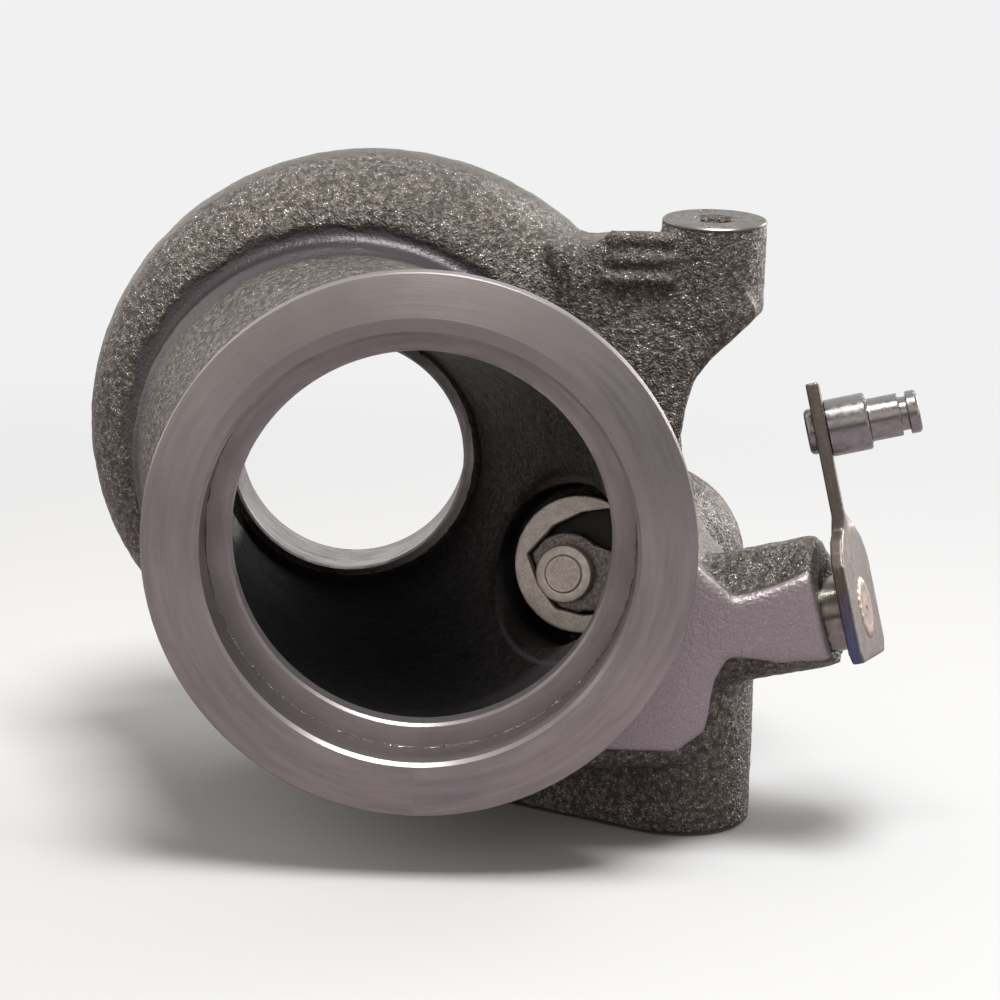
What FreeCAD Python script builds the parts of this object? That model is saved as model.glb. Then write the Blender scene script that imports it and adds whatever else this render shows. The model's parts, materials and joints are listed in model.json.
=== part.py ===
import FreeCAD, Part
import os
import re
import Sketcher
from FreeCAD import Rotation, Vector

# Turbine housing of a small turbocharger, with its internal wastegate.
# Origin: centre of the bearing housing's joint face, on the rotor axis.
# +Y runs along the rotor axis out of that face, so the gas outlet looks along -Y.
# +Z is up, with the inlet flange at the bottom. Lengths are millimetres, angles are degrees.

SIZES = {
    # Outlet: a clamp ring, a counterbore for the pipe and the ledge that the pipe stops on
    "outlet_across": 12.6,
    "outlet_drop": 3.4,
    "outlet_reach": 82.0,
    "outlet_bore_radius": 29.0,
    "outlet_bore_depth": 7.5,
    "outlet_face_radius": 31.2,
    "outlet_rim_radius": 37.0,
    "outlet_rim_setback": 1.8,
    "outlet_rim_land": 3.0,
    "outlet_rim_slope": 3.0,
    "outlet_neck_radius": 33.0,
    "outlet_neck_length": 10.0,
    "ledge_radius": 25.7,
    "ledge_thickness": 3.6,
    "edge_break": 0.5,
    # Rotor side: turbine bore, wheel space and the clamp rim of the bearing housing
    "turbine_bore_radius": 16.9,
    "turbine_bore_start": 36.0,
    "turbine_bore_end": 24.7,
    "flare_radius": 19.6,
    "slot_front": 21.0,
    "slot_back": 13.5,
    "slot_radius": 30.0,
    "wheel_space_radius": 24.5,
    "register_radius": 27.5,
    "register_depth": 6.0,
    "clamp_rim_radius": 34.5,
    "clamp_rim_width": 4.0,
    "clamp_groove_radius": 30.0,
    "clamp_groove_width": 7.5,
    "hub_radius": 31.5,
    "hub_front": 44.0,
    "hub_shoulder": 4.0,
    # Chamber behind the outlet
    "chamber_front_radius": 27.6,
    "chamber_back_radius": 18.8,
    "channel_across": 26.0,
    "channel_drop": 6.0,
    "channel_radius": 13.5,
    "channel_depth": 2.0,
    # Scroll: a tube that shrinks as it winds round the rotor
    "scroll_depth": 24.0,
    "scroll_start_angle": -20.0,
    "scroll_end_angle": 325.0,
    "scroll_big_reach": 50.7,
    "scroll_small_reach": 36.5,
    "scroll_shrink_power": 1.8,
    "scroll_big_tube": 13.6,
    "scroll_small_tube": 7.6,
    "scroll_wall": 3.6,
    # Inlet duct and its three-hole flange
    "duct_across": 45.0,
    "duct_radius": 15.6,
    "duct_top_radius": 14.2,
    "duct_top_drop": 17.0,
    "duct_wall": 2.9,
    "flange_drop": 49.4,
    "flange_thickness": 8.5,
    "flange_across": 34.8,
    "flange_bolt_circle": 28.0,
    "flange_corner_radius": 11.0,
    "flange_hole_radius": 3.4,
    "flange_hole_depth": 12.0,
    "ear_column_drop": 20.0,
    "ear_web_length": 26.0,
    "ear_web_thickness": 12.0,
    # Wastegate shaft: its foot point beside the valve, and its direction
    "shaft_across": 38.0,
    "shaft_reach": 50.9,
    "shaft_drop": 25.2,
    "shaft_forward_angle": 14.0,
    "shaft_rise_angle": 15.6,
    "shaft_radius": 3.5,
    "shaft_clearance": 0.05,
    "boss_radius": 9.25,
    "boss_lift": 2.15,
    "boss_start": 6.0,
    "boss_end": 34.0,
    "boss_recess_radius": 6.8,
    "boss_recess_depth": 1.2,
    "arm_face_reach": 68.0,
    "bush_radius": 5.3,
    "bush_start": 14.0,
    "bush_collar_length": 2.5,
    # Wastegate valve, its seat and the inner arm
    "valve_lean_angle": 10.0,
    "valve_height": 13.4,
    "seat_depth": 4.4,
    "seat_gap": 0.2,
    "valve_radius": 9.85,
    "valve_shift": 0.5,
    "valve_plate": 2.6,
    "valve_rim_height": 2.8,
    "stem_shift_across": 2.5,
    "stem_shift_down": 0.9,
    "stem_radius": 2.6,
    "stem_clearance": 0.08,
    "stem_end_height": 0.25,
    "washer_radius": 3.95,
    "washer_thickness": 1.4,
    "eye_radius": 5.9,
    "eye_thickness": 2.0,
    "eye_gap": 0.15,
    "eye_side_gap": 0.45,
    "hub_eye_radius": 5.1,
    "hub_eye_start": 5.0,
    "hub_eye_length": 8.4,
    "port_radius": 7.0,
    "port_length": 16.0,
    "spotface_radius": 11.8,
    "spotface_length": 14.0,
    "arm_space_length": 10.0,
    "arm_space_gap": 0.8,
    "port_boss_radius": 14.5,
    # Outer lever, its weld and the actuator pin
    "lever_lean_angle": 8.5,
    "lever_gap": 0.3,
    "lever_thickness": 1.8,
    "lever_foot_width": 18.6,
    "lever_foot_drop": 7.0,
    "lever_foot_corner": 1.6,
    "lever_shoulder_height": 6.6,
    "lever_strap_width": 8.6,
    "lever_joggle": -0.3,
    "lever_twist_angle": 10.5,
    "lever_joggle_start": 11.5,
    "lever_joggle_end": 13.5,
    "lever_top": 32.1,
    "lever_weld_radius": 4.4,
    "lever_weld_height": 0.8,
    "pin_height": 25.5,
    "pin_rivet_radius": 3.25,
    "pin_rivet_thickness": 1.1,
    "pin_shank_radius": 2.5,
    "pin_shoulder_radius": 4.0,
    "pin_shoulder_length": 5.8,
    "pin_journal_radius": 3.0,
    "pin_journal_length": 4.4,
    "pin_groove_radius": 2.35,
    "pin_groove_width": 1.1,
    "pin_tip_length": 1.6,
    "pin_edge_break": 0.3,
    # Tapped boss on top, with its web and ribs
    "tap_boss_across": 52.5,
    "tap_boss_depth": 32.0,
    "tap_boss_height": 35.5,
    "tap_boss_radius": 7.6,
    "tap_boss_length": 14.0,
    "tap_boss_tilt_angle": 4.0,
    "tap_hole_radius": 2.5,
    "tap_hole_depth": 13.0,
    "web_thickness": 12.0,
    "web_start": 36.5,
    "web_run_in": 9.0,
    "web_height": 32.4,
    "rib_radius": 1.2,
    "rib_drop": 2.4,
    "rib_spacing": 2.85,
    "rib_length": 10.5,
}

doc = FreeCAD.newDocument("turbine_housing")
sheet = doc.addObject("Spreadsheet::Sheet", "Sizes")
for row, (alias, number) in enumerate(SIZES.items(), start=1):
    sheet.set(f"A{row}", alias)
    sheet.set(f"B{row}", str(number))
    sheet.setAlias(f"B{row}", alias)
doc.recompute()


def formula(text):
    """Turn a formula of size names into an expression that reads them from the sheet."""
    return re.sub(r"[a-z_]+", lambda word: "Sizes." * (word.group() in SIZES) + word.group(), text)


def value(text):
    """The number that a formula of size names gives now."""
    return float(sheet.evalExpression(formula(str(text))))


def frame(across, depth, height, yaw="0", pitch="0", roll="0"):
    """Formula of a placement: a point, then turns about Z, Y and X."""
    return (
        f"create(<<placement>>; create(<<vector>>; {across}; {depth}; {height}); "
        f"create(<<rotation>>; {yaw}; {pitch}; {roll}))"
    )


def bind(item, **settings):
    """Tie properties of an object to formulas of size names."""
    for name, text in settings.items():
        item.setExpression(name, formula(str(text)))
    return item


def add(kind, name, place=None, **settings):
    """A new object whose sizes and placement follow the sheet."""
    item = doc.addObject(kind, name)
    if place:
        settings["Placement"] = place
    return bind(item, **settings)


def outline(sketch, corners):
    """Draw a closed outline of straight runs and hold each corner by its two distances."""
    points = [Vector(value(across), value(along), 0) for across, along in corners]
    count = len(points)
    for index, point in enumerate(points):
        sketch.addGeometry(Part.LineSegment(point, points[(index + 1) % count]), False)
    for index in range(count):
        sketch.addConstraint(Sketcher.Constraint("Coincident", index, 2, (index + 1) % count, 1))
    for index, corner in enumerate(corners):
        for kind, text in zip(("DistanceX", "DistanceY"), corner):
            number = sketch.addConstraint(Sketcher.Constraint(kind, -1, 1, index, 1, value(text)))
            sketch.setExpression(f"Constraints[{number}]", formula(str(text)))
    return sketch


def turned(name, corners, place):
    """A body turned about its own X axis from an outline of (along, radius) corners."""
    body = doc.addObject("PartDesign::Body", name)
    sketch = body.newObject("Sketcher::SketchObject", name + "_profile")
    plane = next(item for item in body.Origin.OriginFeatures if item.Role == "XY_Plane")
    sketch.AttachmentSupport = [(plane, "")]
    sketch.MapMode = "FlatFace"
    outline(sketch, corners)
    doc.recompute()
    turn = body.newObject("PartDesign::Revolution", name + "_turn")
    turn.Profile = sketch
    turn.ReferenceAxis = (sketch, ["H_Axis"])
    turn.Angle = 360
    bind(body, Placement=place)
    return body


def revolved(name, corners, across="0", depth="0", height="0"):
    """A solid turned about an axis along Y from an outline of (radius, along) corners."""
    sketch = add("Sketcher::SketchObject", name + "_profile", frame(across, depth, height))
    outline(sketch, corners)
    turn = add("Part::Revolution", name)
    turn.Source = sketch
    turn.Axis = Vector(0, 1, 0)
    turn.Angle = 360
    turn.Solid = True
    bind(turn, **{"Base.x": across, "Base.z": height})
    return turn


def upright(name, corners, near, far):
    """A slab whose outline lies in the XZ plane, from the depth near back to the depth far."""
    sketch = add("Sketcher::SketchObject", name + "_outline", frame("0", near, "0", roll="90"))
    outline(sketch, corners)
    slab = add("Part::Extrusion", name, LengthFwd=f"({far}) - ({near})")
    slab.Base = sketch
    slab.DirMode = "Custom"
    slab.Dir = Vector(0, 1, 0)
    slab.Solid = True
    return slab


def rounded(name, base, direction, radius):
    """Round the edges of a slab that run along one direction."""
    doc.recompute()
    edges = []
    for number, edge in enumerate(base.Shape.Edges, start=1):
        run = edge.Vertexes[-1].Point - edge.Vertexes[0].Point
        along = run.Length > 0 and abs(run.normalize().dot(direction)) > 0.999
        if along:
            edges.append((number, value(radius), value(radius)))
    fillet = doc.addObject("Part::Fillet", name)
    fillet.Base = base
    fillet.Edges = edges
    return fillet


def rod(name, radius, length, place):
    """A plain cylinder along its own Z axis."""
    return add("Part::Cylinder", name, place, Radius=radius, Height=length)


def ring_section(name, radius, across, depth, height):
    """A circle that faces along Y, for a loft."""
    return add("Part::Circle", name, frame(across, depth, height, roll="90"), Radius=radius)


def lofted(name, sections, ruled=False):
    """A solid through the sections in their order."""
    loft = doc.addObject("Part::Loft", name)
    loft.Sections = sections
    loft.Solid = True
    loft.Ruled = ruled
    return loft


def joined(name, pieces):
    """One solid from several that overlap."""
    whole = doc.addObject("Part::MultiFuse", name)
    whole.Shapes = pieces
    return whole


def cut(name, base, tool):
    """The base without the tool."""
    left = doc.addObject("Part::Cut", name)
    left.Base = base
    left.Tool = tool
    left.Refine = False
    return left


def built_up(name, pieces):
    """One solid from several, each fused to the ones before it."""
    whole = pieces[0]
    for number, piece in enumerate(pieces[1:], start=1):
        step = doc.addObject("Part::Fuse", f"{name}_{number}")
        step.Base = whole
        step.Tool = piece
        step.Refine = False
        whole = step
    return whole


def carved(name, base, tools):
    """The base after one cut for each tool."""
    left = base
    for number, tool in enumerate(tools, start=1):
        last = number == len(tools)
        left = cut(name if last else f"{name}_{number}", left, tool)
    return left


# Frames of the wastegate: the shaft runs along X, out of the housing. In the valve's frame
# Z points from the shaft to the valve and Y into the seat. In the lever's frame Z runs up
# the lever.
SHAFT_POINT = ("shaft_across", "-shaft_reach", "-shaft_drop")
SHAFT_TURN = ("-shaft_forward_angle", "-shaft_rise_angle")
shaft_frame = frame(*SHAFT_POINT, *SHAFT_TURN)
valve_frame = frame(*SHAFT_POINT, *SHAFT_TURN, "-valve_lean_angle")
lever_frame = frame(*SHAFT_POINT, *SHAFT_TURN, "-lever_lean_angle")


def along_shaft(start, lift="0"):
    """Placement of a cylinder that lies along the shaft from a given station."""
    return f"{shaft_frame} * {frame(start, '0', lift, pitch='90')}"


def slab_across_shaft(name, corners, near, far):
    """A slab that faces the valve's seat, between two levels, from (along, up) corners."""
    place = f"{valve_frame} * {frame('0', near, '0', roll='90')}"
    sketch = outline(add("Sketcher::SketchObject", name + "_outline", place), corners)
    slab = add("Part::Extrusion", name, LengthFwd=f"({far}) - ({near})")
    slab.Base = sketch
    slab.DirMode = "Normal"
    slab.Reversed = True
    slab.Solid = True
    return slab


def into_seat(start, across="-valve_shift", height="valve_height"):
    """Placement of a cylinder that runs into the valve seat from a given level."""
    return f"{valve_frame} * {frame(across, start, height, roll='-90')}"


# Outlet ring and neck of the casting
outlet_ring = revolved(
    "outlet_ring",
    [
        ("0", "0"),
        ("outlet_face_radius", "0"),
        ("outlet_rim_radius", "outlet_rim_setback"),
        ("outlet_rim_radius", "outlet_rim_setback + outlet_rim_land"),
        ("outlet_neck_radius", "outlet_rim_setback + outlet_rim_land + outlet_rim_slope"),
        ("outlet_neck_radius", "outlet_neck_length"),
        ("0", "outlet_neck_length"),
    ],
    "outlet_across",
    "-outlet_reach",
    "-outlet_drop",
)
neck = lofted(
    "neck",
    [
        ring_section(
            "neck_front",
            "outlet_neck_radius",
            "outlet_across",
            "outlet_neck_length - outlet_reach",
            "-outlet_drop",
        ),
        ring_section("neck_back", "hub_radius - 1", "0", "-hub_front + hub_shoulder", "0"),
    ],
    ruled=True,
)

# Hub round the rotor axis, with the clamp rim for the bearing housing at its back
hub = revolved(
    "hub",
    [
        ("0", "-hub_front"),
        ("hub_radius - hub_shoulder", "-hub_front"),
        ("hub_radius", "-hub_front + hub_shoulder"),
        ("hub_radius", "-clamp_rim_width - clamp_groove_width"),
        ("clamp_groove_radius", "-clamp_rim_width - clamp_groove_width + 1"),
        ("clamp_groove_radius", "-clamp_rim_width - 2"),
        ("clamp_rim_radius", "-clamp_rim_width"),
        ("clamp_rim_radius", "-edge_break * 2"),
        ("clamp_rim_radius - edge_break * 2", "0"),
        ("0", "0"),
    ],
)


def scroll_sections(name, wall, count):
    """Circles round the rotor axis that carry the shrinking tube, thinner by the wall."""
    sections = []
    for index in range(count):
        share = f"{1 - index / (count - 1)}"
        angle = f"(scroll_end_angle + (scroll_start_angle - scroll_end_angle) * {share})"
        reach = (
            f"(scroll_small_reach + (scroll_big_reach - scroll_small_reach)"
            f" * pow({share}; scroll_shrink_power))"
        )
        tube = f"(scroll_small_tube + (scroll_big_tube - scroll_small_tube) * {share})"
        middle = f"({reach} - {tube})"
        place = frame(
            f"{middle} * cos({angle})", "-scroll_depth", f"{middle} * sin({angle})", pitch=f"-{angle}"
        )
        sections.append(add("Part::Circle", f"{name}_{index}", place, Radius=f"{tube} - {wall}"))
    return sections


scroll = lofted("scroll", scroll_sections("scroll_section", "0", 23), ruled=True)
duct = add(
    "Part::Cone",
    "duct",
    frame("duct_across", "-scroll_depth", "-flange_drop"),
    Radius1="duct_radius",
    Radius2="duct_top_radius",
    Height="flange_drop - duct_top_drop",
)
duct_top = add(
    "Part::Sphere",
    "duct_top",
    frame("duct_across", "-scroll_depth", "-duct_top_drop"),
    Radius="duct_top_radius",
)

# Three-cornered inlet flange and the web that carries its far ear
triangle = add(
    "Part::RegularPolygon",
    "flange_outline",
    frame("flange_across", "-scroll_depth", "-flange_drop", yaw="180"),
    Circumradius="flange_bolt_circle + 2 * flange_corner_radius",
)
triangle.Polygon = 3
flange_slab = add("Part::Extrusion", "flange_slab", LengthFwd="flange_thickness")
flange_slab.Base = triangle
flange_slab.DirMode = "Custom"
flange_slab.Dir = Vector(0, 0, 1)
flange_slab.Solid = True
flange = rounded("flange", flange_slab, Vector(0, 0, 1), "flange_corner_radius")
ear_web = add(
    "Part::Box",
    "ear_web",
    frame(
        "flange_across - flange_bolt_circle + flange_hole_radius + 2",
        "-scroll_depth - ear_web_thickness / 2",
        "-flange_drop + flange_thickness - 1",
    ),
    Length="ear_web_length",
    Width="ear_web_thickness",
    Height="flange_drop - flange_thickness + 1 - hub_radius + 3",
)

def ear_place(index, start):
    """Placement of what stands on one of the flange's three ears, from a given level."""
    angle = 60 + 120 * index
    return frame(
        f"flange_across + flange_bolt_circle * cos({angle})",
        f"-scroll_depth + flange_bolt_circle * sin({angle})",
        start,
    )


# The casting runs on from the front ear up into the shaft's arm
FRONT_EAR = 2
ear_column = rod(
    "ear_column",
    "flange_corner_radius",
    "flange_drop - ear_column_drop",
    ear_place(FRONT_EAR, "-flange_drop"),
)

# Front wall of the wastegate chamber, flat across the chamber and the shaft's arm
FACE_BACK = "-turbine_bore_start"
wall_slab = upright(
    "wall_slab",
    [
        ("outlet_across + 16", "-34.2"),
        ("48.2", "-34.2"),
        ("52.0", "-31.2"),
        ("53.0", "-24.0"),
        ("56.0", "-18.0"),
        ("55.4", "-12.2"),
        ("53.7", "-10.8"),
        ("50.5", "-8.1"),
        ("46.0", "-2.0"),
        ("outlet_across + 16", "4.0"),
    ],
    "-arm_face_reach",
    FACE_BACK,
)
arm_slab = upright(
    "arm_slab",
    [
        ("50.0", "-20.3"),
        ("55.7", "-20.5"),
        ("62.0", "-21.1"),
        ("70.5", "-20.3"),
        ("66.9", "-7.6"),
        ("64.7", "-8.5"),
        ("60.1", "-10.6"),
        ("55.4", "-12.2"),
        ("50.0", "-12.0"),
    ],
    "-arm_face_reach",
    "-arm_face_reach + boss_radius + 2",
)
shaft_boss = rod("shaft_boss", "boss_radius", "boss_end - boss_start", along_shaft("boss_start", "boss_lift"))
port_boss = rod("port_boss", "port_boss_radius", "28", into_seat("-8"))

# Tapped boss, the web that carries it from the scroll, and the web's ribs
def down_boss(depth):
    """Placement of a cylinder that ends at the tilted boss's top, from a given depth below it."""
    top = frame("tap_boss_across", "-tap_boss_depth", "tap_boss_height", roll="tap_boss_tilt_angle")
    return f"{top} * {frame('0', '0', f'-({depth})')}"


tap_boss = rod("tap_boss", "tap_boss_radius", "tap_boss_length", down_boss("tap_boss_length"))
web_slab = upright(
    "web_slab",
    [
        ("web_start - web_run_in", "web_height"),
        ("tap_boss_across", "web_height + 0.5"),
        ("tap_boss_across + tap_boss_radius - 0.8", "tap_boss_height - tap_boss_length + 1"),
        ("56.7", "19.6"),
        ("54.1", "17.2"),
        ("51.9", "14.8"),
        ("50.1", "12.2"),
        ("49.2", "8.5"),
        ("48.4", "3.0"),
        ("44.0", "-8.0"),
        ("24.0", "5.0"),
        ("web_start", "web_height / 3"),
    ],
    "-tap_boss_depth - web_thickness / 2",
    "-tap_boss_depth + web_thickness / 2",
)
ribs = [
    rod(
        f"rib_{index}",
        "rib_radius",
        "rib_length",
        frame(
            "web_start - 0.5",
            "-tap_boss_depth - web_thickness / 2",
            f"tap_boss_height - rib_drop - rib_spacing * {index}",
            pitch="90",
        ),
    )
    for index in range(3)
]

casting = built_up(
    "casting",
    [
        hub,
        neck,
        outlet_ring,
        scroll,
        duct,
        duct_top,
        flange,
        ear_web,
        ear_column,
        wall_slab,
        arm_slab,
        shaft_boss,
        port_boss,
        web_slab,
        tap_boss,
        *ribs,
    ],
)

# Hollows of the casting, from the outlet inwards
outlet_hollow = revolved(
    "outlet_hollow",
    [
        ("0", "-1"),
        ("outlet_bore_radius + edge_break + 1", "-1"),
        ("outlet_bore_radius", "edge_break"),
        ("outlet_bore_radius", "outlet_bore_depth"),
        ("ledge_radius", "outlet_bore_depth"),
        ("ledge_radius", "outlet_bore_depth + ledge_thickness + 1"),
        ("0", "outlet_bore_depth + ledge_thickness + 1"),
    ],
    "outlet_across",
    "-outlet_reach",
    "-outlet_drop",
)
chamber = lofted(
    "chamber",
    [
        ring_section(
            "chamber_front",
            "chamber_front_radius",
            "outlet_across",
            "outlet_bore_depth + ledge_thickness - outlet_reach",
            "-outlet_drop",
        ),
        ring_section("chamber_back", "chamber_back_radius", "0", "-turbine_bore_start", "0"),
    ],
    ruled=True,
)
valve_channel = lofted(
    "valve_channel",
    [
        add(
            "Part::Circle",
            "channel_front",
            frame(
                "channel_across",
                "outlet_bore_depth + ledge_thickness - outlet_reach",
                "-channel_drop",
                roll="-90",
            ),
            Radius="channel_radius",
        ),
        add(
            "Part::Circle",
            "channel_back",
            into_seat("-channel_depth"),
            Radius="spotface_radius - edge_break",
        ),
    ],
    ruled=True,
)
rotor_hollow = revolved(
    "rotor_hollow",
    [
        ("0", "-turbine_bore_start - 1"),
        ("turbine_bore_radius", "-turbine_bore_start - 1"),
        ("turbine_bore_radius", "-turbine_bore_end"),
        ("(turbine_bore_radius + flare_radius) / 2 - 0.6", "(-turbine_bore_end - slot_front) / 2"),
        ("flare_radius", "-slot_front"),
        ("slot_radius", "-slot_front"),
        ("slot_radius", "-slot_back"),
        ("wheel_space_radius", "-slot_back"),
        ("wheel_space_radius", "-register_depth"),
        ("register_radius", "-register_depth"),
        ("register_radius", "1"),
        ("0", "1"),
    ],
)
passage = lofted("passage", scroll_sections("passage_section", "scroll_wall", 13), ruled=True)
inlet = rod(
    "inlet",
    "duct_top_radius - duct_wall",
    "flange_drop - duct_top_drop + 1",
    frame("duct_across", "-scroll_depth", "-flange_drop - 1"),
)
inlet_top = add(
    "Part::Sphere",
    "inlet_top",
    frame("duct_across", "-scroll_depth", "-duct_top_drop"),
    Radius="duct_top_radius - duct_wall",
)
port = rod("port", "port_radius", "port_length + 1", into_seat("seat_depth - 1"))
spotface = rod(
    "spotface", "spotface_radius", "seat_depth + spotface_length", into_seat("-spotface_length")
)
arm_space = slab_across_shaft(
    "arm_space",
    [
        ("-2", "0"),
        ("bush_start - 0.2", "0"),
        ("bush_start - 0.2", "7.2"),
        ("8.6", "valve_height + 2"),
        ("-2", "valve_height + 2"),
    ],
    "-arm_space_length",
    "seat_depth - seat_gap",
)
hub_space = rod(
    "hub_space",
    "hub_eye_radius + arm_space_gap",
    "bush_start - hub_eye_start + arm_space_gap + 0.4",
    along_shaft("hub_eye_start - arm_space_gap - 0.4"),
)
shaft_bore = rod("shaft_bore", "bush_radius", "boss_end - bush_start + 6", along_shaft("bush_start"))
boss_recess = rod(
    "boss_recess",
    "boss_recess_radius",
    "boss_recess_depth + 1",
    along_shaft("boss_end - boss_recess_depth"),
)
tap_hole = rod("tap_hole", "tap_hole_radius", "tap_hole_depth + 1", down_boss("tap_hole_depth"))
flange_holes = [
    rod(
        f"flange_hole_{index}",
        "flange_hole_radius",
        "flange_hole_depth + 1",
        ear_place(index, "-flange_drop - 1"),
    )
    for index in range(3)
]
arm_end = add(
    "Part::Box",
    "arm_end",
    f"{shaft_frame} * {frame('boss_end', '-20', '-20')}",
    Length="20",
    Width="40",
    Height="40",
)
turbine_housing = carved(
    "turbine_housing",
    casting,
    [
        outlet_hollow,
        chamber,
        valve_channel,
        rotor_hollow,
        passage,
        inlet,
        inlet_top,
        port,
        spotface,
        arm_space,
        hub_space,
        shaft_bore,
        boss_recess,
        tap_hole,
        *flange_holes,
        arm_end,
    ],
)

# Bush pressed into the arm, with the end that stands out towards the lever
BUSH_END = "boss_end + bush_collar_length"
wastegate_bush = turned(
    "wastegate_bush",
    [
        ("bush_start", "shaft_radius + shaft_clearance"),
        ("bush_start", "bush_radius"),
        (f"{BUSH_END} - edge_break", "bush_radius"),
        (BUSH_END, "bush_radius - edge_break"),
        (BUSH_END, "shaft_radius + shaft_clearance"),
    ],
    shaft_frame,
)

# Shaft, from the inner arm's hub to the lever's outer face
LEVER_FACE = f"{BUSH_END} + lever_gap"
wastegate_shaft = turned(
    "wastegate_shaft",
    [
        ("hub_eye_start", "0"),
        ("hub_eye_start", "shaft_radius - pin_edge_break"),
        ("hub_eye_start + pin_edge_break", "shaft_radius"),
        (f"{LEVER_FACE} + lever_thickness", "shaft_radius"),
        (f"{LEVER_FACE} + lever_thickness", "0"),
    ],
    shaft_frame,
)

# Valve: a plate with a raised rim that is open towards the arm, and the stem in its pocket
PLATE_TOP = "seat_depth - seat_gap - valve_plate"
RIM_TOP = f"{PLATE_TOP} - valve_rim_height"
STEM_ACROSS = "-valve_shift - stem_shift_across"
STEM_HEIGHT = "valve_height - stem_shift_down"
WASHER_BACK = f"{PLATE_TOP} - 2 * eye_gap - eye_thickness"
valve_blank = rod(
    "valve_blank", "valve_radius", "valve_plate + valve_rim_height", into_seat(RIM_TOP)
)


def pocket_corners(inset):
    """Outline of the pocket inside the valve's rim, its closed side moved in towards the arm."""
    corners = [
        ("-8.1", "2.9"),
        ("-7.4", "-1.5"),
        ("-5.5", "-5.5"),
        ("-1.8", "-7.2"),
        ("0.8", "-7.5"),
        ("2.0", "-11.5"),
        ("11.5", "-11.5"),
        ("11.5", "6.6"),
        ("1.2", "7.3"),
        ("-3.4", "6.2"),
    ]
    return [(f"{across} + {inset}", f"valve_height + {up}") for across, up in corners]


pocket = slab_across_shaft("pocket", pocket_corners("0"), f"{RIM_TOP} - 1", PLATE_TOP)
stem = rod(
    "stem",
    "stem_radius",
    "eye_thickness + 2 * eye_gap + washer_thickness + stem_end_height + 0.5",
    into_seat(f"{WASHER_BACK} - washer_thickness - stem_end_height", STEM_ACROSS, STEM_HEIGHT),
)
valve_disc = joined("valve_disc", [cut("valve_cup", valve_blank, pocket), stem])

washer_ring = rod(
    "washer_ring",
    "washer_radius",
    "washer_thickness",
    into_seat(f"{WASHER_BACK} - washer_thickness", STEM_ACROSS, STEM_HEIGHT),
)
washer_hole = rod(
    "washer_hole",
    "stem_radius",
    "washer_thickness + 2",
    into_seat(f"{WASHER_BACK} - washer_thickness - 1", STEM_ACROSS, STEM_HEIGHT),
)
valve_washer = cut("valve_washer", washer_ring, washer_hole)

# Inner arm: an eye round the valve's stem, a strap and a hub round the shaft
EYE_FRONT = f"{PLATE_TOP} - eye_gap - eye_thickness"
arm_eye = doc.addObject("Part::Common", "arm_eye")
arm_eye.Base = rod(
    "eye_blank", "eye_radius", "eye_thickness", into_seat(EYE_FRONT, STEM_ACROSS, STEM_HEIGHT)
)
arm_eye.Tool = slab_across_shaft(
    "eye_limits", pocket_corners("eye_side_gap"), f"{EYE_FRONT} - 1", f"{EYE_FRONT} + eye_thickness + 1"
)
strap = slab_across_shaft(
    "strap",
    [
        (f"{STEM_ACROSS} + 1.5", f"{STEM_HEIGHT} + eye_radius - 0.5"),
        (f"{STEM_ACROSS} - 0.6", f"{STEM_HEIGHT} - eye_radius + 0.6"),
        ("hub_eye_start", "5.2"),
        ("hub_eye_start", "0"),
        ("hub_eye_start + hub_eye_length", "0"),
        ("hub_eye_start + hub_eye_length", "4.5"),
        ("6.5", f"{STEM_HEIGHT} + 0.6"),
    ],
    EYE_FRONT,
    f"{EYE_FRONT} + eye_thickness",
)
arm_hub = rod("arm_hub", "hub_eye_radius", "hub_eye_length", along_shaft("hub_eye_start"))
arm_hole = rod("arm_hole", "shaft_radius", "hub_eye_length + 2", along_shaft("hub_eye_start - 1"))
valve_arm = cut("valve_arm", joined("arm_blank", [arm_eye, strap, arm_hub]), joined(
    "arm_holes",
    [
        arm_hole,
        rod(
            "eye_hole",
            "stem_radius + stem_clearance",
            "eye_thickness + 2",
            into_seat(f"{EYE_FRONT} - 1", STEM_ACROSS, STEM_HEIGHT),
        ),
    ],
))

# Weld that closes the arm's hub over the shaft's inner end
arm_weld = turned(
    "arm_weld",
    [
        ("hub_eye_start - 0.7", "0"),
        ("hub_eye_start - 0.5", "shaft_radius"),
        ("hub_eye_start", "shaft_radius + 0.5"),
        ("hub_eye_start", "0"),
    ],
    shaft_frame,
)

# Outer lever: a foot round the shaft's end, a joggled strap and its hole for the pin
def foot_side(sign):
    """Corners of one side of the lever's foot, from the strap down to the bottom."""
    return [
        (f"{sign}lever_strap_width / 2", "lever_joggle_start"),
        (f"{sign}(lever_strap_width / 2 + 2.2)", "lever_joggle_start - 1.2"),
        (f"{sign}(lever_foot_width / 2 - 1.1)", "lever_shoulder_height + 2"),
        (f"{sign}lever_foot_width / 2", "lever_shoulder_height"),
        (f"{sign}lever_foot_width / 2", "lever_foot_corner - lever_foot_drop"),
        (f"{sign}(lever_foot_width / 2 - lever_foot_corner)", "-lever_foot_drop"),
    ]


foot_sketch = add(
    "Sketcher::SketchObject",
    "foot_outline",
    f"{lever_frame} * {frame(LEVER_FACE, '0', '0', yaw='90', roll='90')}",
)
outline(
    foot_sketch,
    [
        *foot_side("-"),
        *reversed(foot_side("+")),
    ],
)
foot = add("Part::Extrusion", "foot", LengthFwd="lever_thickness")
foot.Base = foot_sketch
foot.DirMode = "Normal"
foot.Solid = True


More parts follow.
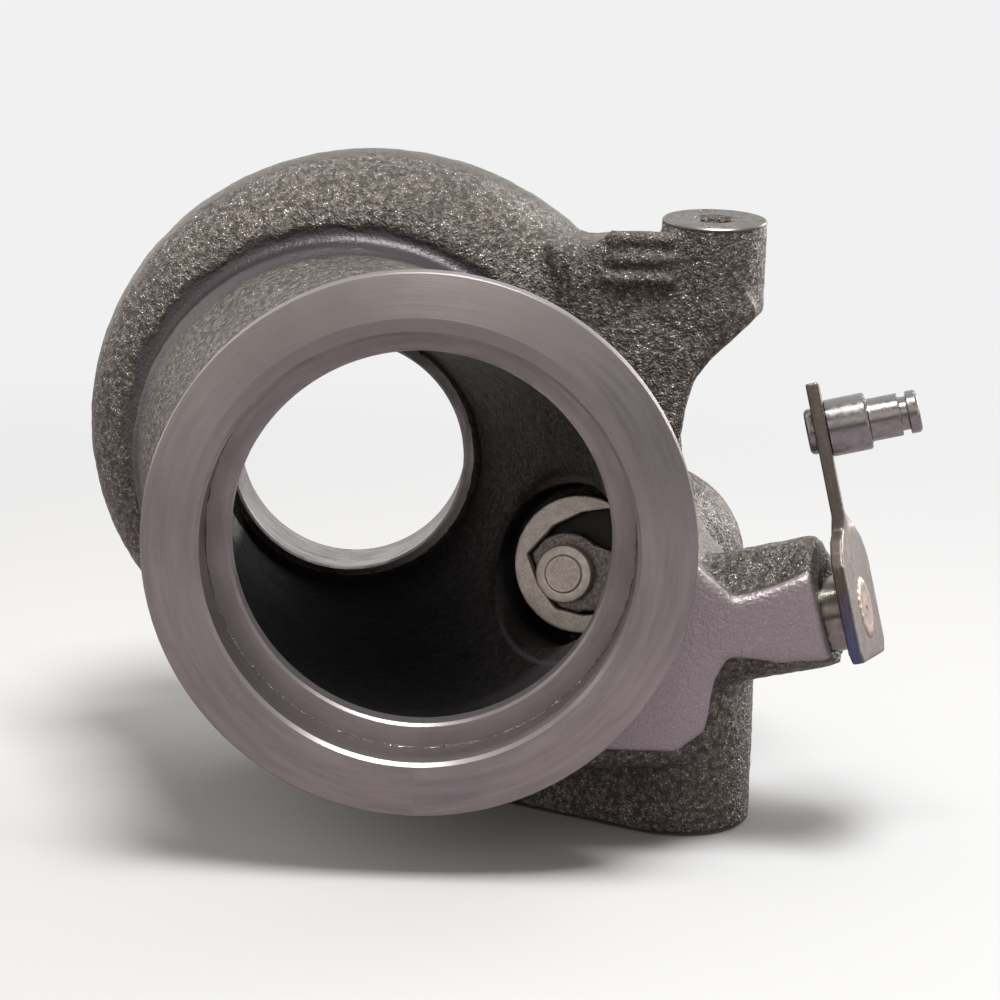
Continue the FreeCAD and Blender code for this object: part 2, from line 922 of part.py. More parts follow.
def strap_section(name, height, shift, twist):
    """Rectangle across the lever's strap at one height, centred on the strap."""
    corner = frame("-lever_thickness / 2", "-lever_strap_width / 2", "0")
    turn = frame(f"{LEVER_FACE} + lever_thickness / 2 + {shift}", "0", height, yaw=twist)
    return add(
        "Part::Plane",
        name,
        f"{lever_frame} * {turn} * {corner}",
        Length="lever_thickness",
        Width="lever_strap_width",
    )


lever_strap = lofted(
    "lever_strap",
    [
        strap_section("strap_foot", "lever_joggle_start - 2", "0", "0"),
        strap_section("strap_low", "lever_joggle_start", "0", "0"),
        strap_section("strap_high", "lever_joggle_end", "lever_joggle", "lever_twist_angle"),
        strap_section("strap_top", "lever_top", "lever_joggle", "lever_twist_angle"),
    ],
    ruled=True,
)
pin_frame = (
    f"{lever_frame} * "
    + frame(
        f"{LEVER_FACE} + lever_thickness / 2 + lever_joggle",
        "0",
        "pin_height",
        yaw="lever_twist_angle",
    )
)
outer_lever = cut("outer_lever", joined("lever_blank", [foot, lever_strap]), joined(
    "lever_holes",
    [
        rod("lever_shaft_hole", "shaft_radius", "lever_thickness + 2", along_shaft(f"{LEVER_FACE} - 1")),
        rod(
            "lever_pin_hole",
            "pin_shank_radius",
            "lever_thickness + 2",
            f"{pin_frame} * {frame('-lever_thickness / 2 - 1', '0', '0', pitch='90')}",
        ),
    ],
))

# Weld bead over the shaft's end on the lever
lever_weld = turned(
    "lever_weld",
    [
        (f"{LEVER_FACE} + lever_thickness", "0"),
        (f"{LEVER_FACE} + lever_thickness", "lever_weld_radius"),
        (f"{LEVER_FACE} + lever_thickness + lever_weld_height * 0.6", "lever_weld_radius - 0.5"),
        (f"{LEVER_FACE} + lever_thickness + lever_weld_height", "lever_weld_radius - 1.9"),
        (f"{LEVER_FACE} + lever_thickness + lever_weld_height * 0.8", "0"),
    ],
    shaft_frame,
)

# Actuator pin: riveted through the lever, with a shoulder, a journal and a clip groove
pin_stations = ["lever_thickness / 2"]
for length in ("pin_shoulder_length", "pin_journal_length", "pin_groove_width", "pin_tip_length"):
    pin_stations.append(f"{pin_stations[-1]} + {length}")
shoulder_start, journal_start, groove_start, tip_start, tip_end = pin_stations
actuator_pin = turned(
    "actuator_pin",
    [
        ("-lever_thickness / 2 - pin_rivet_thickness", "0"),
        ("-lever_thickness / 2 - pin_rivet_thickness", "pin_rivet_radius - pin_edge_break"),
        ("-lever_thickness / 2 - pin_edge_break", "pin_rivet_radius"),
        ("-lever_thickness / 2", "pin_rivet_radius"),
        ("-lever_thickness / 2", "pin_shank_radius"),
        (shoulder_start, "pin_shank_radius"),
        (shoulder_start, "pin_shoulder_radius"),
        (f"{journal_start} - pin_edge_break", "pin_shoulder_radius"),
        (journal_start, "pin_shoulder_radius - pin_edge_break"),
        (journal_start, "pin_journal_radius"),
        (groove_start, "pin_journal_radius"),
        (groove_start, "pin_groove_radius"),
        (tip_start, "pin_groove_radius"),
        (tip_start, "pin_journal_radius"),
        (f"{tip_end} - pin_edge_break", "pin_journal_radius"),
        (tip_end, "pin_journal_radius - pin_edge_break"),
        (tip_end, "0"),
    ],
    pin_frame,
)

doc.recompute()

PIECES = [
    turbine_housing,
    wastegate_bush,
    wastegate_shaft,
    valve_disc,
    valve_washer,
    valve_arm,
    arm_weld,
    outer_lever,
    lever_weld,
    actuator_pin,
]
for piece in PIECES:
    piece.Label = piece.Name
for item in doc.Objects:
    if "Invalid" in item.State or "Error" in item.State:
        raise RuntimeError(f"{item.Name} did not build: {item.State}")
os.makedirs("parts", exist_ok=True)
for piece in PIECES:
    shape = piece.Shape
    if shape.isNull() or not shape.isValid():
        raise RuntimeError(f"{piece.Name} is not a valid shape")
    print(f"{piece.Name}: {len(shape.Solids)} solid, {shape.Volume:.1f} cubic mm")
for piece in PIECES:
    piece.Shape.exportStep(os.path.join("parts", piece.Label + ".step"))
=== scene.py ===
import json
import math

import bmesh
import bpy
import numpy as np
from mathutils import Matrix, Vector


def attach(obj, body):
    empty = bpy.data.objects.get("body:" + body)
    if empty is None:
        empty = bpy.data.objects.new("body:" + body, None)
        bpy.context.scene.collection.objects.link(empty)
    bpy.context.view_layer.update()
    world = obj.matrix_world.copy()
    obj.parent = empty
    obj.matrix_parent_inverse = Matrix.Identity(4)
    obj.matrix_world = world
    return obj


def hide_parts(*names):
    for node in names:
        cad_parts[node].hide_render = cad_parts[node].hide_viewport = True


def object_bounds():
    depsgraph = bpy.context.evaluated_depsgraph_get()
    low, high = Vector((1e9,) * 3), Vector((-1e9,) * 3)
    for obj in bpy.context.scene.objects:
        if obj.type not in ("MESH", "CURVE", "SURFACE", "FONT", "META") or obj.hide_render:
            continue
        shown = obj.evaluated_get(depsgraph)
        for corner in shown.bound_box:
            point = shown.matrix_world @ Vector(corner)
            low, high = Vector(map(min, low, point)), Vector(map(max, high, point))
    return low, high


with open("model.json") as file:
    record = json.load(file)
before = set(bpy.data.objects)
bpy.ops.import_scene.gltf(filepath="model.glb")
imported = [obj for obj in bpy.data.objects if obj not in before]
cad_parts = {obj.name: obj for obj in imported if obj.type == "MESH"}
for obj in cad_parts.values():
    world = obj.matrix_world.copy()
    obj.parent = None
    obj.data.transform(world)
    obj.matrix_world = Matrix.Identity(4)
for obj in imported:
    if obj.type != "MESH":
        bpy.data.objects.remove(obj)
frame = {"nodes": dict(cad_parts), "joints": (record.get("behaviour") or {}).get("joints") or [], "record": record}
cad_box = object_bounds()

# Casting of the turbine housing
# One iron sand casting: scroll, inlet duct and flange, hub, wastegate chamber, arm and tapped boss.
# Founder's fillets soften every corner, and the skin keeps the grain of the sand.

MM = 0.001
mounts = {mount["name"]: mount for mount in frame["record"]["mounts"]}
joints = {joint["name"]: joint for joint in frame["joints"]}
outlet_centre = Vector(mounts["outlet_clamp_rim"]["pos_m"]) / MM
VALVE_LEAN = 10.0
STEM_TO_SEAT = 2.5
SCROLL = {
    "depth": -24.0,
    "start": -20.0,
    "end": 325.0,
    "big_reach": 50.7,
    "small_reach": 36.5,
    "shrink_power": 1.8,
    "big_tube": 13.6,
    "small_tube": 7.6,
    "hub": 31.0,
    "skin": 1.4,
}
CAST_VOXEL = 0.6 * MM
CAST_FACES = 190_000
FILLET_PASSES, BLEND_PASSES = 12, 60
FULL_PULL = 0.5
PLATE_KEPT, WEB_KEPT, FLANGE_KEPT = 0.55, 0.8, 0.7
PLATE_CALM, CREASE_CALM, FLANGE_CALM = 0.75, 0.8, 0.6
SEAT_DEPTH = 0.4
RING_RADII, RING_DEPTHS = (24, 45), (-5, 8.5)
LEDGE_RADII, LEDGE_DEPTHS = (24, 30.5), (-5, 12.0)
BORE_RADII, BORE_DEPTHS = (-5, 20.4), (-37, -20.4)
BEARING_RADII, BEARING_DEPTHS = (23, 36), (-13.2, 5)
PLATE_DEPTH = -68.0
PLATE_DEPTHS = (PLATE_DEPTH - 3, PLATE_DEPTH + 5)
WEB_ACROSS, WEB_DEPTHS, WEB_BOTTOM = (36.5, 70), (-50, -20), 23.5
BLEND_ACROSS, BLEND_DEPTHS, BLEND_BOTTOM = (21, 36.5), (-44, -26), 14
FLANGE_HEIGHTS = (-60, -46.5)
CREASE_RADIUS, CREASE_WIDTH, CREASE_SINK = 32.2, 1.3, 0.6
CREASE_DEPTHS, CREASE_END = (-39.5, -31), 24
DISH_ALONG, DISH_ACROSS, DISH_WIDTH, DISH_SINK, DISH_FLOOR = (14, 31), -5.2, 2.3, 2.8, 5
SAND_SIZES = [(1.3, 0.22), (6.0, 0.25)]
PLATE_BEAD = ((33.0, -61.5, -35.6), (46.5, -60.9, -35.4), 3.2)


def frame_along(point, axis):
    """A frame at a point whose X runs along an axis and whose Y stays level."""
    x = Vector(axis).normalized()
    up = Vector((0, 0, 1)) if abs(x.z) < 0.95 else Vector((0, 1, 0))
    y = up.cross(x).normalized()
    z = x.cross(y)
    turn = Matrix((x, y, z)).transposed().to_4x4()
    return Matrix.Translation(Vector(point)) @ turn


swing, swivel = joints["wastegate_swing"], joints["valve_swivel"]
shaft_place = frame_along(swing["pos_m"], swing["axis"])
valve_place = shaft_place @ Matrix.Rotation(math.radians(-VALVE_LEAN), 4, "X")
stem_point = valve_place.inverted() @ Vector(swivel["pos_m"])
stem_place = frame_along(valve_place @ Vector((stem_point.x, 0, stem_point.z)), swivel["axis"])
seat_point = Vector((stem_point.x + STEM_TO_SEAT * MM, 0, stem_point.z))
seat_place = frame_along(valve_place @ seat_point, swivel["axis"])


def link(name, data):
    """A new object in the scene for a mesh, a lamp or a camera."""
    item = bpy.data.objects.new(name, data)
    bpy.context.scene.collection.objects.link(item)
    return item


def settled(item):
    """The object with its modifiers worked into its mesh."""
    graph = bpy.context.evaluated_depsgraph_get()
    mesh = bpy.data.meshes.new_from_object(item.evaluated_get(graph), depsgraph=graph)
    item.modifiers.clear()
    item.data = mesh
    mesh.name = item.name
    return item


def shade(item, angle=28):
    """Smooth shading that keeps corners sharper than the angle."""
    item.data.polygons.foreach_set("use_smooth", [True] * len(item.data.polygons))
    item.data.set_sharp_from_angle(angle=math.radians(angle))
    return item


def points_of(mesh):
    """The mesh's points in millimetres, one row each."""
    flat = np.empty(len(mesh.vertices) * 3)
    mesh.vertices.foreach_get("co", flat)
    return flat.reshape(-1, 3) / MM


def normals_of(mesh):
    """The mesh's outward direction at each point."""
    flat = np.empty(len(mesh.vertices) * 3)
    mesh.vertex_normals.foreach_get("vector", flat)
    return flat.reshape(-1, 3)


def move_points(mesh, points):
    """Put the mesh's points at new places, in millimetres."""
    mesh.vertices.foreach_set("co", (points * MM).ravel())
    mesh.update()


def relaxed(mesh, amount, passes):
    """Points drawn towards their neighbours, by an amount for each point, several times over."""
    points = points_of(mesh)
    pairs = np.empty(len(mesh.edges) * 2, np.int64)
    mesh.edges.foreach_get("vertices", pairs)
    near, far = pairs.reshape(-1, 2).T
    count = len(points)
    neighbours = np.bincount(near, minlength=count) + np.bincount(far, minlength=count)
    for _ in range(passes):
        for axis in range(3):
            column = points[:, axis]
            total = np.bincount(near, column[far], count) + np.bincount(far, column[near], count)
            points[:, axis] = column + amount * (total / np.maximum(neighbours, 1) - column)
    return points


def between(values, low, high, soft):
    """1 inside a range of values and 0 outside it, with a soft edge."""
    rise = np.clip((values - low) / soft + 0.5, 0, 1)
    fall = np.clip((high - values) / soft + 0.5, 0, 1)
    return rise * fall


def scroll_wall():
    """The scroll's outer wall as one smooth shell that winds round the hub."""
    steps, arc = 150, 30
    points, faces = [], []
    for step in range(steps + 1):
        share = 1 - step / steps
        turn = math.radians(SCROLL["end"] + (SCROLL["start"] - SCROLL["end"]) * share)
        spread = SCROLL["big_reach"] - SCROLL["small_reach"]
        reach = SCROLL["small_reach"] + spread * share ** SCROLL["shrink_power"]
        tube = SCROLL["small_tube"] + (SCROLL["big_tube"] - SCROLL["small_tube"]) * share
        middle = reach - tube
        widest = math.acos((SCROLL["hub"] - middle) / tube)
        outer = [(tube, widest * (2 * k / arc - 1)) for k in range(arc + 1)]
        inner = [(tube - SCROLL["skin"], angle) for _, angle in reversed(outer)]
        for size, angle in outer + inner:
            radius = middle + size * math.cos(angle)
            depth = SCROLL["depth"] + size * math.sin(angle)
            points.append((radius * math.cos(turn), depth, radius * math.sin(turn)))
    width = 2 * (arc + 1)
    for step in range(steps):
        for k in range(width):
            a, b = step * width + k, step * width + (k + 1) % width
            faces.append((a, b, b + width, a + width))
    faces.append(tuple(range(width - 1, -1, -1)))
    faces.append(tuple(range(steps * width, (steps + 1) * width)))
    return [tuple(value * MM for value in point) for point in points], faces


def turned_faces(section, place, turns):
    """Points and faces of a closed (along, radius) section turned about the X axis of a place."""
    points, faces = [], []
    count = len(section)
    for turn in range(turns):
        angle = 2 * math.pi * turn / turns
        for along, radius in section:
            local = Vector((along, radius * math.cos(angle), radius * math.sin(angle))) * MM
            points.append(tuple(place @ local))
    for turn in range(turns):
        here, there = turn * count, (turn + 1) % turns * count
        for k in range(count):
            after = (k + 1) % count
            faces.append((here + k, there + k, there + after, here + after))
    return points, faces


def round_bead(start, end, radius):
    """A bead with round ends between two points in millimetres."""
    start, end = Vector(start), Vector(end)
    length = (end - start).length
    arc = [math.radians(angle) for angle in range(0, 91, 10)]
    section = [(-radius * math.cos(a), 0.01 + radius * math.sin(a)) for a in arc]
    section += [(length + radius * math.sin(a), 0.01 + radius * math.cos(a)) for a in arc]
    return turned_faces(section, frame_along(start * MM, end - start), 28)


def casting_blank():
    """The housing's solid, with the scroll's smooth wall and the bead under the plate over it."""
    solid = frame["nodes"]["turbine_housing"].data
    points = [tuple(vertex.co) for vertex in solid.vertices]
    faces = [tuple(face.vertices) for face in solid.polygons]
    for more_points, more_faces in (scroll_wall(), round_bead(*PLATE_BEAD)):
        start = len(points)
        faces += [tuple(index + start for index in face) for face in more_faces]
        points += more_points
    mesh = bpy.data.meshes.new("housing_casting")
    mesh.from_pydata(points, [], faces)
    return link("housing_casting", mesh)


def remeshed(item, voxel):
    """The object's skin made again from even faces."""
    remesh = item.modifiers.new("skin", "REMESH")
    remesh.mode = "VOXEL"
    remesh.voxel_size = voxel
    return settled(item)


def grained(item, amount, sizes):
    """Roughen the skin like sand, by an amount for each point and a strength for each size."""
    group = item.vertex_groups.new(name="cast_skin")
    levels = np.round(amount * 10).astype(int)
    for level in range(1, 11):
        group.add(np.flatnonzero(levels == level).tolist(), level / 10, "REPLACE")
    for size, strength in sizes:
        sand = bpy.data.textures.new("sand", "CLOUDS")
        sand.noise_scale = size * MM
        sand.noise_depth = 1
        relief = item.modifiers.new("sand", "DISPLACE")
        relief.texture = sand
        relief.texture_coords = "LOCAL"
        relief.strength = strength * MM
        relief.mid_level = 0.5
        relief.vertex_group = group.name
    return item


casting = remeshed(casting_blank(), CAST_VOXEL)
x, y, z = points_of(casting.data).T
outlet_radius = np.hypot(x - outlet_centre.x, z - outlet_centre.z)
outlet_depth = y - outlet_centre.y
rotor_radius = np.hypot(x, z)
ring_zone = np.maximum(
    between(outlet_radius, *RING_RADII, soft=0.1) * between(outlet_depth, *RING_DEPTHS, soft=1.0),
    between(outlet_radius, *LEDGE_RADII, soft=0.1) * between(outlet_depth, *LEDGE_DEPTHS, soft=0.6),
)
bore_zone = between(rotor_radius, *BORE_RADII, soft=0.6) * between(y, *BORE_DEPTHS, soft=0.6)
bearing_zone = between(rotor_radius, *BEARING_RADII, soft=0.1) * between(y, *BEARING_DEPTHS, soft=1.0)
turned_zone = np.maximum(np.maximum(ring_zone, bore_zone), bearing_zone)
plate_zone = between(y, *PLATE_DEPTHS, soft=1.0) * (outlet_depth > RING_DEPTHS[1])
web_zone = between(x, *WEB_ACROSS, soft=2.0) * between(y, *WEB_DEPTHS, soft=1.0) * (z > WEB_BOTTOM)
flange_zone = between(z, *FLANGE_HEIGHTS, soft=1.5)

# Fillets: the turned faces keep their corners, and the plate, web and flange keep most of theirs.
softness = FULL_PULL * (1 - turned_zone) * (1 - PLATE_KEPT * plate_zone)
softness *= (1 - WEB_KEPT * web_zone) * (1 - FLANGE_KEPT * flange_zone)
move_points(casting.data, relaxed(casting.data, softness, FILLET_PASSES))
blend_zone = between(x, *BLEND_ACROSS, soft=2.0) * between(y, *BLEND_DEPTHS, soft=2.0) * (z > BLEND_BOTTOM)
move_points(casting.data, relaxed(casting.data, FULL_PULL * blend_zone, BLEND_PASSES))

# The sunk line between the scroll and the neck, and the dish in the top of the shaft's arm.
x, y, z = points_of(casting.data).T
crease = np.exp(-(((np.hypot(x, z) - CREASE_RADIUS) / CREASE_WIDTH) ** 2))
crease *= between(y, *CREASE_DEPTHS, soft=2.0) * (x < CREASE_END)
sunk = points_of(casting.data) - normals_of(casting.data) * (CREASE_SINK * crease)[:, None]
move_points(casting.data, sunk)
to_shaft = np.array(shaft_place.inverted().to_3x3())
along, across, up = to_shaft @ (points_of(casting.data) - np.array(shaft_place.translation) / MM).T
dish = DISH_SINK * between(along, *DISH_ALONG, soft=5.0) * (up > DISH_FLOOR)
dish *= np.exp(-(((across - DISH_ACROSS) / DISH_WIDTH) ** 2))
move_points(casting.data, points_of(casting.data) - dish[:, None] * to_shaft[2])

# Room under the turned faces, which are pieces of their own, then the sand's grain.
seated = points_of(casting.data) - normals_of(casting.data) * (SEAT_DEPTH * turned_zone)[:, None]
move_points(casting.data, seated)
calm_zone = np.maximum(plate_zone * PLATE_CALM, crease * CREASE_CALM)
calm_zone = np.maximum(calm_zone, flange_zone * FLANGE_CALM)
casting = settled(grained(casting, (1 - turned_zone) * (1 - calm_zone), SAND_SIZES))
box_low, box_high = (np.array(corner) / MM for corner in cad_box)
move_points(casting.data, np.clip(points_of(casting.data), box_low, box_high))
thin = casting.modifiers.new("thin", "DECIMATE")
thin.ratio = min(1.0, CAST_FACES / (2 * len(casting.data.polygons)))
casting = shade(settled(casting), 60)


def add_node(tree, kind, options=None, **sockets):
    """A shader node; each socket takes a value or another node's output."""
    node = tree.nodes.new(kind)
    for name, value in (options or {}).items():
        setattr(node, name, value)
    for name, value in sockets.items():
        key = int(name[1:]) if name[0] == "_" else name.replace("_", " ")
        socket = node.inputs[key]
        if isinstance(value, bpy.types.NodeSocket):
            tree.links.new(value, socket)
        else:
            socket.default_value = value
    return node


def math_node(tree, operation, first, second=0.0, clamp=False):
    """One sum of two numbers over the surface."""
    options = {"operation": operation, "use_clamp": clamp}
    return add_node(tree, "ShaderNodeMath", options, _0=first, _1=second).outputs[0]


def all_of(tree, *masks):
    """A mask that is 1 only where every one of these masks is."""
    result = masks[0]
    for mask in masks[1:]:
        result = math_node(tree, "MULTIPLY", result, mask)
    return result


def mixed(tree, amount, first, second, blend="MIX"):
    """Two colours mixed by an amount."""
    node = tree.nodes.new("ShaderNodeMix")
    node.data_type = "RGBA"
    node.blend_type = blend
    for index, value in ((0, amount), (6, first), (7, second)):
        if isinstance(value, bpy.types.NodeSocket):
            tree.links.new(value, node.inputs[index])
        else:
            node.inputs[index].default_value = value
    return node.outputs[2]


def stepped(tree, value, low, high, bottom=0.0, top=1.0):
    """A value spread from one range to another, with a smooth run."""
    options = {"interpolation_type": "SMOOTHSTEP"}
    node = add_node(tree, "ShaderNodeMapRange", options, Value=value, From_Min=low, From_Max=high)
    node.inputs["To Min"].default_value = bottom
    node.inputs["To Max"].default_value = top
    return node.outputs[0]


def noise(tree, where, scale, detail=2.0, rough=0.5):
    """Uneven values over the surface, by places in metres and a count per metre."""
    node = add_node(tree, "ShaderNodeTexNoise", None, Vector=where, Scale=scale, Detail=detail)
    node.inputs["Roughness"].default_value = rough
    return node.outputs["Fac"]


def radius_about(tree, first, second, centre=(0.0, 0.0)):
    """The distance from an axis, by two coordinates and the axis's place."""
    first = math_node(tree, "SUBTRACT", first, centre[0])
    second = math_node(tree, "SUBTRACT", second, centre[1])
    squares = [math_node(tree, "MULTIPLY", value, value) for value in (first, second)]
    return math_node(tree, "SQRT", math_node(tree, "ADD", *squares))


def effect(name, inputs, outputs):
    """A new shader node group with named inputs and outputs, and its two end nodes."""
    tree = bpy.data.node_groups.new(name, "ShaderNodeTree")
    kinds = {"c": "NodeSocketColor", "f": "NodeSocketFloat", "v": "NodeSocketVector"}
    for title, kind in inputs:
        tree.interface.new_socket(title, in_out="INPUT", socket_type=kinds[kind])
    for title, kind in outputs:
        tree.interface.new_socket(title, in_out="OUTPUT", socket_type=kinds[kind])
    return tree, tree.nodes.new("NodeGroupInput"), tree.nodes.new("NodeGroupOutput")


def place_effect(tree, group, **sockets):
    """The group put in a material with its own values."""
    node = tree.nodes.new("ShaderNodeGroup")
    node.node_tree = group
    for name, value in sockets.items():
        socket = node.inputs[name.replace("_", " ")]
        if isinstance(value, bpy.types.NodeSocket):
            tree.links.new(value, socket)
        else:
            socket.default_value = value
    return node


def sand_grain_effect():
    """Colour, roughness and height of a sand-cast iron skin."""
    tree, given, out = effect(
        "sand_grain",
        [
            ("Where", "v"),
            ("Deep", "c"),
            ("Middle", "c"),
            ("Bright", "c"),
            ("Grains", "f"),
            ("Calm", "f"),
        ],
        [("Color", "c"), ("Roughness", "f"), ("Height", "f")],
    )
    where, grains, calm = given.outputs["Where"], given.outputs["Grains"], given.outputs["Calm"]
    coarse = noise(tree, where, grains, 3.0, 0.6)
    fine = noise(tree, where, math_node(tree, "MULTIPLY", grains, 3.1), 2.0, 0.7)
    patch = noise(tree, where, 70.0, 2.0, 0.5)
    cells = add_node(tree, "ShaderNodeTexVoronoi", {"feature": "F1"}, Vector=where)
    tree.links.new(math_node(tree, "MULTIPLY", grains, 1.9), cells.inputs["Scale"])
    deep, middle = given.outputs["Deep"], given.outputs["Middle"]
    body = mixed(tree, stepped(tree, coarse, 0.35, 0.65), deep, middle)
    body = mixed(tree, stepped(tree, patch, 0.42, 0.7, 0.0, 0.35), body, deep)
    bare = math_node(tree, "SUBTRACT", 1.0, calm, True)
    spark = all_of(tree, stepped(tree, fine, 0.55, 0.7), stepped(tree, coarse, 0.42, 0.6), bare)
    tree.links.new(mixed(tree, spark, body, given.outputs["Bright"]), out.inputs["Color"])
    dull = stepped(tree, fine, 0.3, 0.7, 0.5, 0.34)
    dull = math_node(tree, "SUBTRACT", dull, math_node(tree, "MULTIPLY", spark, 0.12))
    tree.links.new(dull, out.inputs["Roughness"])
    pit = math_node(tree, "SUBTRACT", 1.0, cells.outputs["Distance"])
    shares = ((coarse, 1.1), (fine, 0.7), (pit, 0.35))
    hills, tips, pits = (math_node(tree, "MULTIPLY", part, share) for part, share in shares)
    height = math_node(tree, "ADD", math_node(tree, "ADD", hills, tips), pits)
    loud = math_node(tree, "SUBTRACT", 1.0, math_node(tree, "MULTIPLY", calm, 0.82))
    tree.links.new(math_node(tree, "MULTIPLY", height, loud), out.inputs["Height"])
    return tree


def tool_marks_effect():
    """Rings left by a turning tool about an axis through the origin of Where, along its X."""
    tree, given, out = effect(
        "tool_marks",
        [("Where", "v"), ("Lines", "f"), ("Across", "f")],
        [("Mark", "f"), ("Streak", "f"), ("Stain", "f")],
    )
    parts = add_node(tree, "ShaderNodeSeparateXYZ", None, Vector=given.outputs["Where"])
    along, y, z = parts.outputs
    side = math_node(tree, "MULTIPLY", along, given.outputs["Across"])
    track = math_node(tree, "ADD", radius_about(tree, y, z), side)
    line = add_node(tree, "ShaderNodeTexNoise", {"noise_dimensions": "1D"}, Detail=3.0)
    tree.links.new(math_node(tree, "MULTIPLY", track, given.outputs["Lines"]), line.inputs["W"])
    line.inputs["Scale"].default_value = 1.0
    tree.links.new(line.outputs["Fac"], out.inputs["Mark"])
    turn = math_node(tree, "MULTIPLY", math_node(tree, "ARCTAN2", y, z), 0.004)
    around = add_node(tree, "ShaderNodeCombineXYZ", None, X=track, Y=turn)
    streak = noise(tree, around.outputs[0], 700.0, 3.0, 0.6)
    tree.links.new(streak, out.inputs["Streak"])
    tree.links.new(noise(tree, given.outputs["Where"], 60.0, 3.0, 0.55), out.inputs["Stain"])
    return tree


sand_grain = sand_grain_effect()
tool_marks = tool_marks_effect()


def new_material(name):
    """A material with its shader, its tree and the object's own coordinates."""
    material = bpy.data.materials.new(name)
    material.use_nodes = True
    tree = material.node_tree
    shader = tree.nodes["Principled BSDF"]
    where = tree.nodes.new("ShaderNodeTexCoord").outputs["Object"]
    return material, tree, shader, where


def bump(tree, shader, height, distance):
    """Small relief over the surface, its depth in metres."""
    node = add_node(tree, "ShaderNodeBump", None, Height=height, Distance=distance, Strength=1.0)
    tree.links.new(node.outputs["Normal"], shader.inputs["Normal"])


def lane(tree, value, low, high, soft):
    """A mask that is 1 between two values and 0 outside them."""
    rise = stepped(tree, value, low - soft / 2, low + soft / 2)
    fall = stepped(tree, value, high + soft / 2, high - soft / 2)
    return all_of(tree, rise, fall)


def axis_coordinates(tree, where, place):
    """The object's coordinates seen from a frame, for marks that run round its X axis."""
    inverse = place.inverted()
    angles = inverse.to_euler("XYZ")
    node = add_node(tree, "ShaderNodeMapping", {"vector_type": "POINT"}, Vector=where)
    node.inputs["Location"].default_value = inverse.to_translation()
    node.inputs["Rotation"].default_value = (angles.x, angles.y, angles.z)
    return node.outputs[0]


# Where each finish of the casting, and the painted shade and highlight, start and end.
BAND_DEPTHS, BAND_START = (-27.5, -14.0), (34.5, 36.5)
BAND_SIDE, BAND_FOOT = (36.0, 28.0), (-40.0, -34.0)
GROOVE_RADII, GROOVE_DEPTHS, GROOVE_END = (28.5, 33.5), (-43.0, -33.0), (26.0, 20.0)
CHAMBER_EDGE, CHAMBER_DEPTHS = (29.5, 28.5), (-70.5, -15.0)
# Painted shade in the chamber runs from deepest at the bottom left to lighter at the top right.
CHAMBER_SHADE_FADE, CHAMBER_SHADE_SHARES = (-16.0, 30.0), (0.97, 0.5)
SEAT_RADII = (11.5, 12.1)
PLATE_EDGE, FLANGE_FACE = (2.2, 0.8), (-48.6, -49.1)


def in_metres(span):
    """A span of millimetres in the metres that the shader nodes measure."""
    return [value * MM for value in span]


def casting_masks(tree, where):
    """Where the casting's skin is machined, ground or smooth, and where shade in the crease and chamber and a
    highlight on the seat's edge are painted, each from 0 to 1.
    """
    x, y, z = add_node(tree, "ShaderNodeSeparateXYZ", None, Vector=where).outputs
    uneven = math_node(tree, "SUBTRACT", noise(tree, where, 220.0, 2.0), 0.5)
    wander = math_node(tree, "MULTIPLY", uneven, 0.003)
    rotor = math_node(tree, "ADD", radius_about(tree, x, z), wander)
    outlet = radius_about(tree, x, z, (outlet_centre.x * MM, outlet_centre.z * MM))
    seat = add_node(tree, "ShaderNodeSeparateXYZ", None, Vector=axis_coordinates(tree, where, seat_place))
    seat_radius = radius_about(tree, seat.outputs["Y"], seat.outputs["Z"])
    # Painted highlight: a faint light ring on the seat's edge, where the light would catch it.
    painted_seat_highlight = lane(tree, seat_radius, *in_metres(SEAT_RADII), 0.0004)

    off_plate = math_node(tree, "ABSOLUTE", math_node(tree, "SUBTRACT", y, PLATE_DEPTH * MM))
    off_plate = math_node(tree, "ADD", off_plate, math_node(tree, "ABSOLUTE", wander))
    band = lane(tree, math_node(tree, "ADD", y, wander), *in_metres(BAND_DEPTHS), 0.002)
    off_band = [stepped(tree, x, *in_metres(BAND_SIDE)), stepped(tree, z, *in_metres(BAND_FOOT))]
    # The crease's lane: smooth skin there, and a darker colour that is painted shade in the sunk line.
    groove = [
        lane(tree, rotor, *in_metres(GROOVE_RADII), 0.0014),
        lane(tree, y, *in_metres(GROOVE_DEPTHS), 0.003),
        stepped(tree, x, *in_metres(GROOVE_END)),
    ]
    inside = stepped(tree, outlet, *in_metres(CHAMBER_EDGE))
    chamber = all_of(tree, inside, lane(tree, y, *in_metres(CHAMBER_DEPTHS), 0.001))
    # Painted shade inside the chamber, deepest towards the bottom left.
    dimness = stepped(tree, math_node(tree, "ADD", x, z), *in_metres(CHAMBER_SHADE_FADE), *CHAMBER_SHADE_SHARES)
    return {
        "plate": stepped(tree, off_plate, *in_metres(PLATE_EDGE)),
        "parting": all_of(tree, stepped(tree, rotor, *in_metres(BAND_START)), band, *off_band),
        "crease": all_of(tree, *groove),
        "chamber": chamber,
        "painted_chamber_shade": all_of(tree, chamber, dimness),
        "painted_seat_highlight": all_of(tree, painted_seat_highlight, chamber),
        "face": stepped(tree, z, *in_metres(FLANGE_FACE)),
    }


